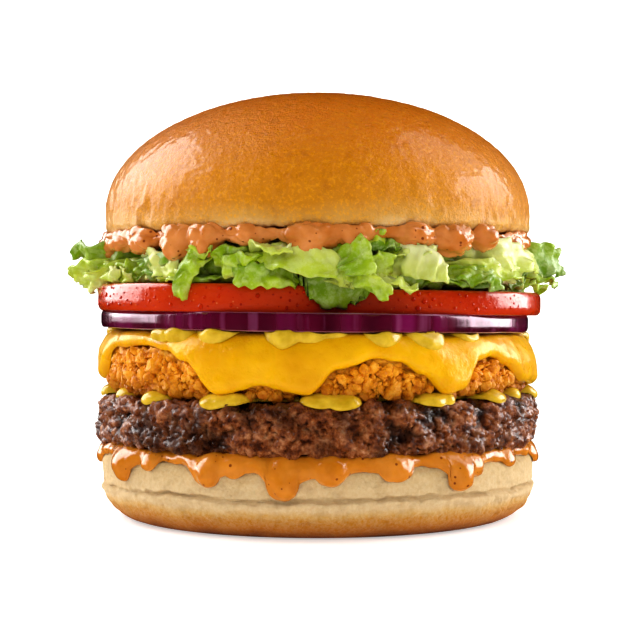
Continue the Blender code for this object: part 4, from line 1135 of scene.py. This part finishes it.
def onion_material():
    """Red onion skin: wet, deep purple, with fine pale lines and lighter cut rims."""
    material, tree, shader, where = start_material("red_onion_flesh")
    split = add(tree, "ShaderNodeSeparateXYZ", [where]).node.outputs
    # A pattern squeezed to nothing in height runs as upright lines. The finest are about 1 mm apart.
    flat = add(tree, "ShaderNodeVectorMath", [where, (1.0, 1.0, 0.04)], operation="MULTIPLY")
    lines = add(tree, NOISE, [flat, None, 1000 / 3, 2, 0.5])
    base = add(tree, RAMP, [add(tree, NOISE, [flat, None, 1000 / 9, 2, 0.55])], stops=[
        (0.35, "#400016"), (0.5, "#580424"), (0.68, "#76124a"),
    ])
    pale = add(tree, RANGE, [lines, 0.56, 0.74, 0.0, 0.35])
    streaked = add(tree, MIX, {0: pale, 6: base, 7: "#b0608e"}, **COLOURS)
    level = add(tree, MATH, [split["X"], math.tan(TOPPING_TILT), split["Z"]], operation="MULTIPLY_ADD")
    top = add(tree, RANGE, [level, ONION_MIDDLE + 1.9 * MM, ONION_MIDDLE + 2.25 * MM])
    base_rim = add(tree, RANGE, [level, ONION_MIDDLE - 1.9 * MM, ONION_MIDDLE - 2.25 * MM])
    rims = add(tree, MATH, [top, base_rim], operation="MAXIMUM")
    cut = add(tree, RANGE, [rims, 0.0, 1.0, 0.0, 0.6])
    fill(tree, shader, {
        "Base Color": add(tree, MIX, {0: cut, 6: streaked, 7: "#b57aa0"}, **COLOURS),
        "Roughness": add(tree, RANGE, [lines, 0.42, 0.6, 0.26, 0.14]),
        "Specular IOR Level": 1.0,
        "Specular Tint": "#ffb4dc",
        "Coat Weight": 1.0,
        "Coat IOR": 1.6,
        "Coat Roughness": 0.14,
        "Normal": add(tree, BUMP, {"Height": lines, "Distance": 0.3 * MM, "Strength": 0.8}),
    })
    return material


onion = slice_mesh("onion", ONION_RADIUS, ONION_THICKNESS, 0.8 * MM, (ONION_OFFSET, 0, 0), 0.01, 3.0)
piece("onion", relief(onion, onion_relief), onion_material(), "red_onion", "onion_slice")

# %% [markdown]
# Tomato skin is smooth and mirror-like with tiny pale pores, and the cut shows as a paler line at the rim.
# Three slices lie side by side. Each later one is cut back where it meets the ones before it, with a Boolean.

# %% The tomatoes


def tomato_material():
    """Ripe tomato: a tight, glossy red skin over wet flesh, with pale pores."""
    material, tree, shader, where = start_material("ripe_tomato")
    broad = add(tree, RANGE, [add(tree, NOISE, [where, None, 1000 / 18, 2, 0.55]), 0.35, 0.65])
    tone = add(tree, MIX, {0: broad, 6: "#cc3a04", 7: "#b02402"}, **COLOURS)
    riper = add(tree, RANGE, [add(tree, NOISE, [where, None, 1000 / 7, 3, 0.55]), 0.5, 0.75, 0.0, 0.6])
    warm = add(tree, MIX, {0: riper, 6: tone, 7: "#c53e08"}, **COLOURS)
    cells = add(tree, "ShaderNodeTexVoronoi", {"Vector": where, "Scale": 1000 / 1.8}, "Distance")
    dots = add(tree, RANGE, [cells, 0.06, 0.14, 0.5, 0.0])
    waves = add(tree, NOISE, [where, None, 1000 / 1.6, 3, 0.55])
    fill(tree, shader, {
        "Base Color": add(tree, MIX, {0: dots, 6: warm, 7: "#e0884e"}, **COLOURS),
        "Roughness": 0.22,
        "Specular Tint": "#ffe6dc",
        "Subsurface Weight": 0.08,
        "Subsurface Radius": (0.003, 0.0004, 0.0002),
        "Coat Weight": 0.9,
        "Coat Roughness": 0.12,
        "Normal": add(tree, BUMP, {"Height": waves, "Distance": 0.3 * MM, "Strength": 0.8}),
    })
    return material


def droplet_material():
    """Beads of juice: as red as what they lie on, and mirror-smooth, so each shows one small glint."""
    material, tree, shader, where = start_material("tomato_juice_beads")
    broad = add(tree, RANGE, [add(tree, NOISE, [where, None, 1000 / 6, 2, 0.55]), 0.35, 0.65])
    fill(tree, shader, {
        "Base Color": add(tree, MIX, {0: broad, 6: "#c23008", 7: "#98180a"}, **COLOURS),
        "Roughness": 0.06,
        "IOR": 1.34,
        "Coat Weight": 0.6,
        "Coat Roughness": 0.03,
    })
    return material


def slice_side(centre_x, centre_y, radius, low, high):
    """A bed for droplets round a slice's skin, where it is near the burger's rim."""
    points, faces = [], []
    for step in range(181):
        bearing = 2 * math.pi * step / 180
        for height in (low, high):
            spot = on_bearing(bearing, radius, height) + Vector((centre_x, centre_y, 0))
            spot.z -= math.tan(TOPPING_TILT) * spot.x
            points.append(spot)
    for step in range(180):
        corner = points[2 * step]
        if corner.xy.length > 47 * MM:
            faces.append((2 * step, 2 * step + 1, 2 * step + 3, 2 * step + 2))
    mesh = bpy.data.meshes.new("droplet_bed")
    mesh.from_pydata(points, [], faces)
    return mesh


def tomato_slices():
    """The three slices as meshes, each trimmed against the room of the ones before it."""
    slices, spaces = {}, []
    for seed, (side, (x, y, thickness)) in enumerate(TOMATOES.items()):
        # The slice settles into the wet onion, so no light comes through between them.
        centre = (x * MM, y * MM, ONION_THICKNESS / 2 + thickness * MM / 2)
        thick = thickness * MM + 0.4 * MM
        mesh = slice_mesh("tomato_" + side, TOMATO_RADIUS, thick, 1.1 * MM, centre, 0.02, seed + 5.0, 300)
        made = bpy.data.objects.new("trim_" + side, mesh)
        bpy.context.scene.collection.objects.link(made)
        for space in spaces:
            cut = made.modifiers.new("trim", "BOOLEAN")
            cut.object = space
            cut.operation = "DIFFERENCE"
        trimmed = bpy.data.meshes.new_from_object(made.evaluated_get(bpy.context.evaluated_depsgraph_get()))
        bpy.data.objects.remove(made)
        slices[side] = trimmed
        tall = slice_mesh("space", TOMATO_RADIUS + 0.1 * MM, 20 * MM, 0.8 * MM, centre, 0.02, seed + 5.0, 240)
        space = bpy.data.objects.new("space", tall)
        bpy.context.scene.collection.objects.link(space)
        spaces.append(space)
    for space in spaces:
        bpy.data.objects.remove(space)
    return slices


tomato = tomato_material()
for side, mesh in tomato_slices().items():
    mesh.name = "tomato_" + side
    made = piece("tomato_slice_" + side, mesh, tomato, "tomato", "tomato_" + side)
    mesh.set_sharp_from_angle(angle=math.radians(40))
juice = droplet_material()
drop_tree = scatter_tree("juice_drops", juice, upright=True)
for number, (side, (x, y, thickness)) in enumerate(TOMATOES.items()):
    low = ONION_MIDDLE + ONION_THICKNESS / 2 + 0.9 * MM
    bed = slice_side(x * MM, y * MM, TOMATO_RADIUS + 0.05 * MM, low, low + (thickness - 1.6) * MM)
    drops = scattered(
        "drops_" + side, bed, drop_tree, Spacing=1.7 * MM, Smallest=0.14 * MM, Largest=0.6 * MM, Flatness=0.45,
        Roughness=0.1 * MM, Grain=600.0, Seed=number + 3,
    )
    piece("juice_drops_" + side, drops, juice, "tomato")

# %% [markdown]
# Iceberg is cut into ribbons that keep the leaf's curl: bright green and ruffled at one edge, whitish at the other.
# Each ribbon is a thin curved strip along a bow that leaves the heap and falls back. The core only fills the middle.

# %% The lettuce


def resting_height(point):
    """How high the tomatoes, or the onion outside them, reach under a point."""
    top = ONION_MIDDLE + ONION_THICKNESS / 2 + GAP
    thickest = 0.0
    for x, y, thickness in TOMATOES.values():
        if (point.xy - Vector((x, y)) * MM).length < TOMATO_RADIUS + 0.6 * MM:
            thickest = max(thickest, thickness * MM)
    return top + thickest - math.tan(TOPPING_TILT) * point.x


def kept_clear(point):
    """The point, pressed flat on the tomatoes below and under the crown above."""
    radius = point.xy.length
    if radius < 56 * MM:
        point.z = max(point.z, resting_height(point) + 0.1 * MM)
        point.z = min(point.z, 70.6 * MM)
    return point


def ribbon(first, last, reach, start_height, end_height, width, roll, seed, rows=34, columns=10):
    """Points, faces, and each point's place across the leaf, of one curved strip with two faces and a rim."""
    draw = random.Random(seed)
    ruffle, phase, waves = draw.uniform(0.6, 1.5) * MM, draw.uniform(0, 6.28), draw.uniform(12, 22)
    middle = (first + last) / 2
    start = on_bearing(first, 44 * MM, start_height)
    crest = on_bearing(middle, max(reach, 55 * MM) + 3 * MM, max(start_height, end_height) + 0.5 * MM)
    end = on_bearing(last, reach, end_height)
    upper, lower, across_share = [], [], []
    for row in range(rows):
        u = row / (rows - 1)
        spot = start * (1 - u) ** 2 + crest * 2 * u * (1 - u) + end * u * u
        along = ((crest - start) * (1 - u) + (end - crest) * u).normalized()
        out = Vector((spot.x, spot.y, 0)).normalized()
        side = along.cross(out).normalized()
        flat = side.cross(along)
        turn = roll + 0.5 * math.sin(phase + 3 * u)
        across = side * math.cos(turn) + flat * math.sin(turn)
        normal = across.cross(along)
        ragged = 1 + 0.3 * noise.noise(Vector((u * 9, seed * 3.1, 0)))
        half = width / 2 * (0.8 + 0.3 * math.sin(math.pi * u)) * ragged
        for column in range(columns):
            place = 2 * column / (columns - 1) - 1
            frilled = 0.25 + 0.75 * ((place + 1) / 2) ** 2
            frill = ruffle * frilled * math.sin(phase + waves * u + 1.3 * place)
            # Folded noise creases the leaf sharply, as a crisp leaf cracks and does not bend.
            crinkle = 3.0 * MM * abs(noise.noise(Vector((u * 6, place * 1.1, seed)))) - 0.5 * MM
            crinkle += 0.8 * MM * abs(noise.noise(Vector((u * 17, place * 3, seed))))
            point = spot + across * half * place + normal * (frill + crinkle)
            upper.append(kept_clear(point + normal * 0.28 * MM))
            lower.append(kept_clear(point - normal * 0.28 * MM))
            across_share.append((place + 1) / 2)
    count, faces = len(upper), []
    for row in range(rows - 1):
        for column in range(columns - 1):
            a = row * columns + column
            faces.append((a, a + 1, a + columns + 1, a + columns))
            faces.append((count + a, count + a + columns, count + a + columns + 1, count + a + 1))
        for edge, way in ((0, 1), (columns - 1, -1)):
            a = row * columns + edge
            faces.append((a, a + columns, count + a + columns, count + a)[::way])
    for row, way in ((0, -1), (rows - 1, 1)):
        for column in range(columns - 1):
            a = row * columns + column
            faces.append((a, a + 1, count + a + 1, count + a)[::way])
    return upper + lower, faces, across_share * 2


def lettuce_mesh():
    """All the ribbons of the table, and smaller ones that fill the rim between them."""
    draw = random.Random(5)
    strips = list(SHREDS)
    for index in range(70):
        first = index * 360 / 70 + draw.uniform(-4, 4)
        turn = draw.choice((-1, 1)) * draw.uniform(10, 26)
        low = draw.uniform(60, 67.5)
        if index % 3 == 0:
            low = draw.uniform(58.5, 60)
        strips.append((
            first, first + turn, draw.uniform(50, 55), low, low + draw.uniform(-2.5, 1.5), draw.uniform(3, 6.5),
            draw.uniform(-20, 70),
        ))
    points, faces, shares, tones = [], [], [], []
    for seed, (first, last, reach, start_height, end_height, width, roll) in enumerate(strips):
        made, sides, across = ribbon(
            math.radians(first), math.radians(last), reach * MM, start_height * MM, end_height * MM, width * MM,
            math.radians(roll), seed,
        )
        faces += [tuple(corner + len(points) for corner in face) for face in sides]
        points += made
        shares += across
        tones += [draw.random()] * len(made)
    mesh = bpy.data.meshes.new("lettuce")
    mesh.from_pydata(points, [], faces)
    for name, values in (("across", shares), ("tone", tones)):
        mesh.attributes.new(name, "FLOAT", "POINT").data.foreach_set("value", values)
    return outwards(mesh)


def lettuce_core():
    """The hidden middle of the heap, crumpled so that nothing flat shows between the ribbons."""

    def section_at(bearing):
        rows = HEAP.section(flat=(0.0, 0.5, 0.8, 0.92), top_steps=10, wall_rows=3, bottom_steps=6)
        made = []
        for radius, height in rows:
            low_share = 1 - (height - HEAP_LOW) / (HEAP_HIGH - HEAP_LOW)
            rest = resting_height(on_bearing(bearing, radius * 0.965, 0.0))
            made.append((radius * 0.965, height + (rest + 0.4 * MM - HEAP_LOW) * low_share))
        return made

    mesh = outwards(turned("lettuce_core", section_at, 300))
    return relief(mesh, lambda point: (nuggets(point, 5 * MM) * 1.8 - 1.0) * MM if point.xy.length > 30 * MM else 0.0)


def leaf_material():
    """Iceberg leaf: a thin waxy sheet, pale near the stalk side, bright green at the frilled side."""
    material, tree, shader, where = start_material("iceberg_leaf")
    across = add(tree, "ShaderNodeAttribute", out="Fac", attribute_name="across")
    tone = add(tree, "ShaderNodeAttribute", out="Fac", attribute_name="tone")
    patches = add(tree, NOISE, [where, None, 1000 / 7, 3, 0.55])
    blend = add(tree, MATH, [across, 0.35, tone], operation="MULTIPLY_ADD")
    shifted = add(tree, MATH, [patches, 0.6, blend], operation="MULTIPLY_ADD")
    colour = add(tree, RAMP, [add(tree, RANGE, [shifted, 0.15, 1.75])], stops=[
        (0.0, "#e6e2b0"), (0.22, "#ccd070"), (0.42, "#bac83a"), (0.6, "#a2bc16"), (0.8, "#7a9c0a"), (1.0, "#4c7406"),
    ])
    veins = add(tree, RANGE, [add(tree, NOISE, [where, None, 1000 / 2, 4, 0.7]), 0.45, 0.6, 0.0, 0.3])
    crinkles = add(tree, NOISE, [where, None, 1000 / 1.6, 4, 0.7])
    fill(tree, shader, {
        "Base Color": add(tree, MIX, {0: veins, 6: colour, 7: "#dbe3a2"}, **COLOURS),
        "Roughness": 0.32,
        "Subsurface Weight": 0.25,
        "Subsurface Radius": (0.001, 0.0013, 0.0002),
        "Coat Weight": 0.3,
        "Coat Roughness": 0.2,
        "Normal": add(tree, BUMP, {"Height": crinkles, "Distance": 0.3 * MM, "Strength": 0.7}),
    })
    return material


leaf = leaf_material()
piece("lettuce_shreds", lettuce_mesh(), leaf, "iceberg", "lettuce")
core_mesh = lettuce_core()
# Painted shade: the core's fixed leaf values give it a dark green, for the heap's hidden middle.
core_mesh.attributes.new("across", "FLOAT", "POINT").data.foreach_set("value", [0.9] * len(core_mesh.vertices))
core_mesh.attributes.new("tone", "FLOAT", "POINT").data.foreach_set("value", [0.75] * len(core_mesh.vertices))
piece("lettuce_core", core_mesh, leaf, "iceberg")
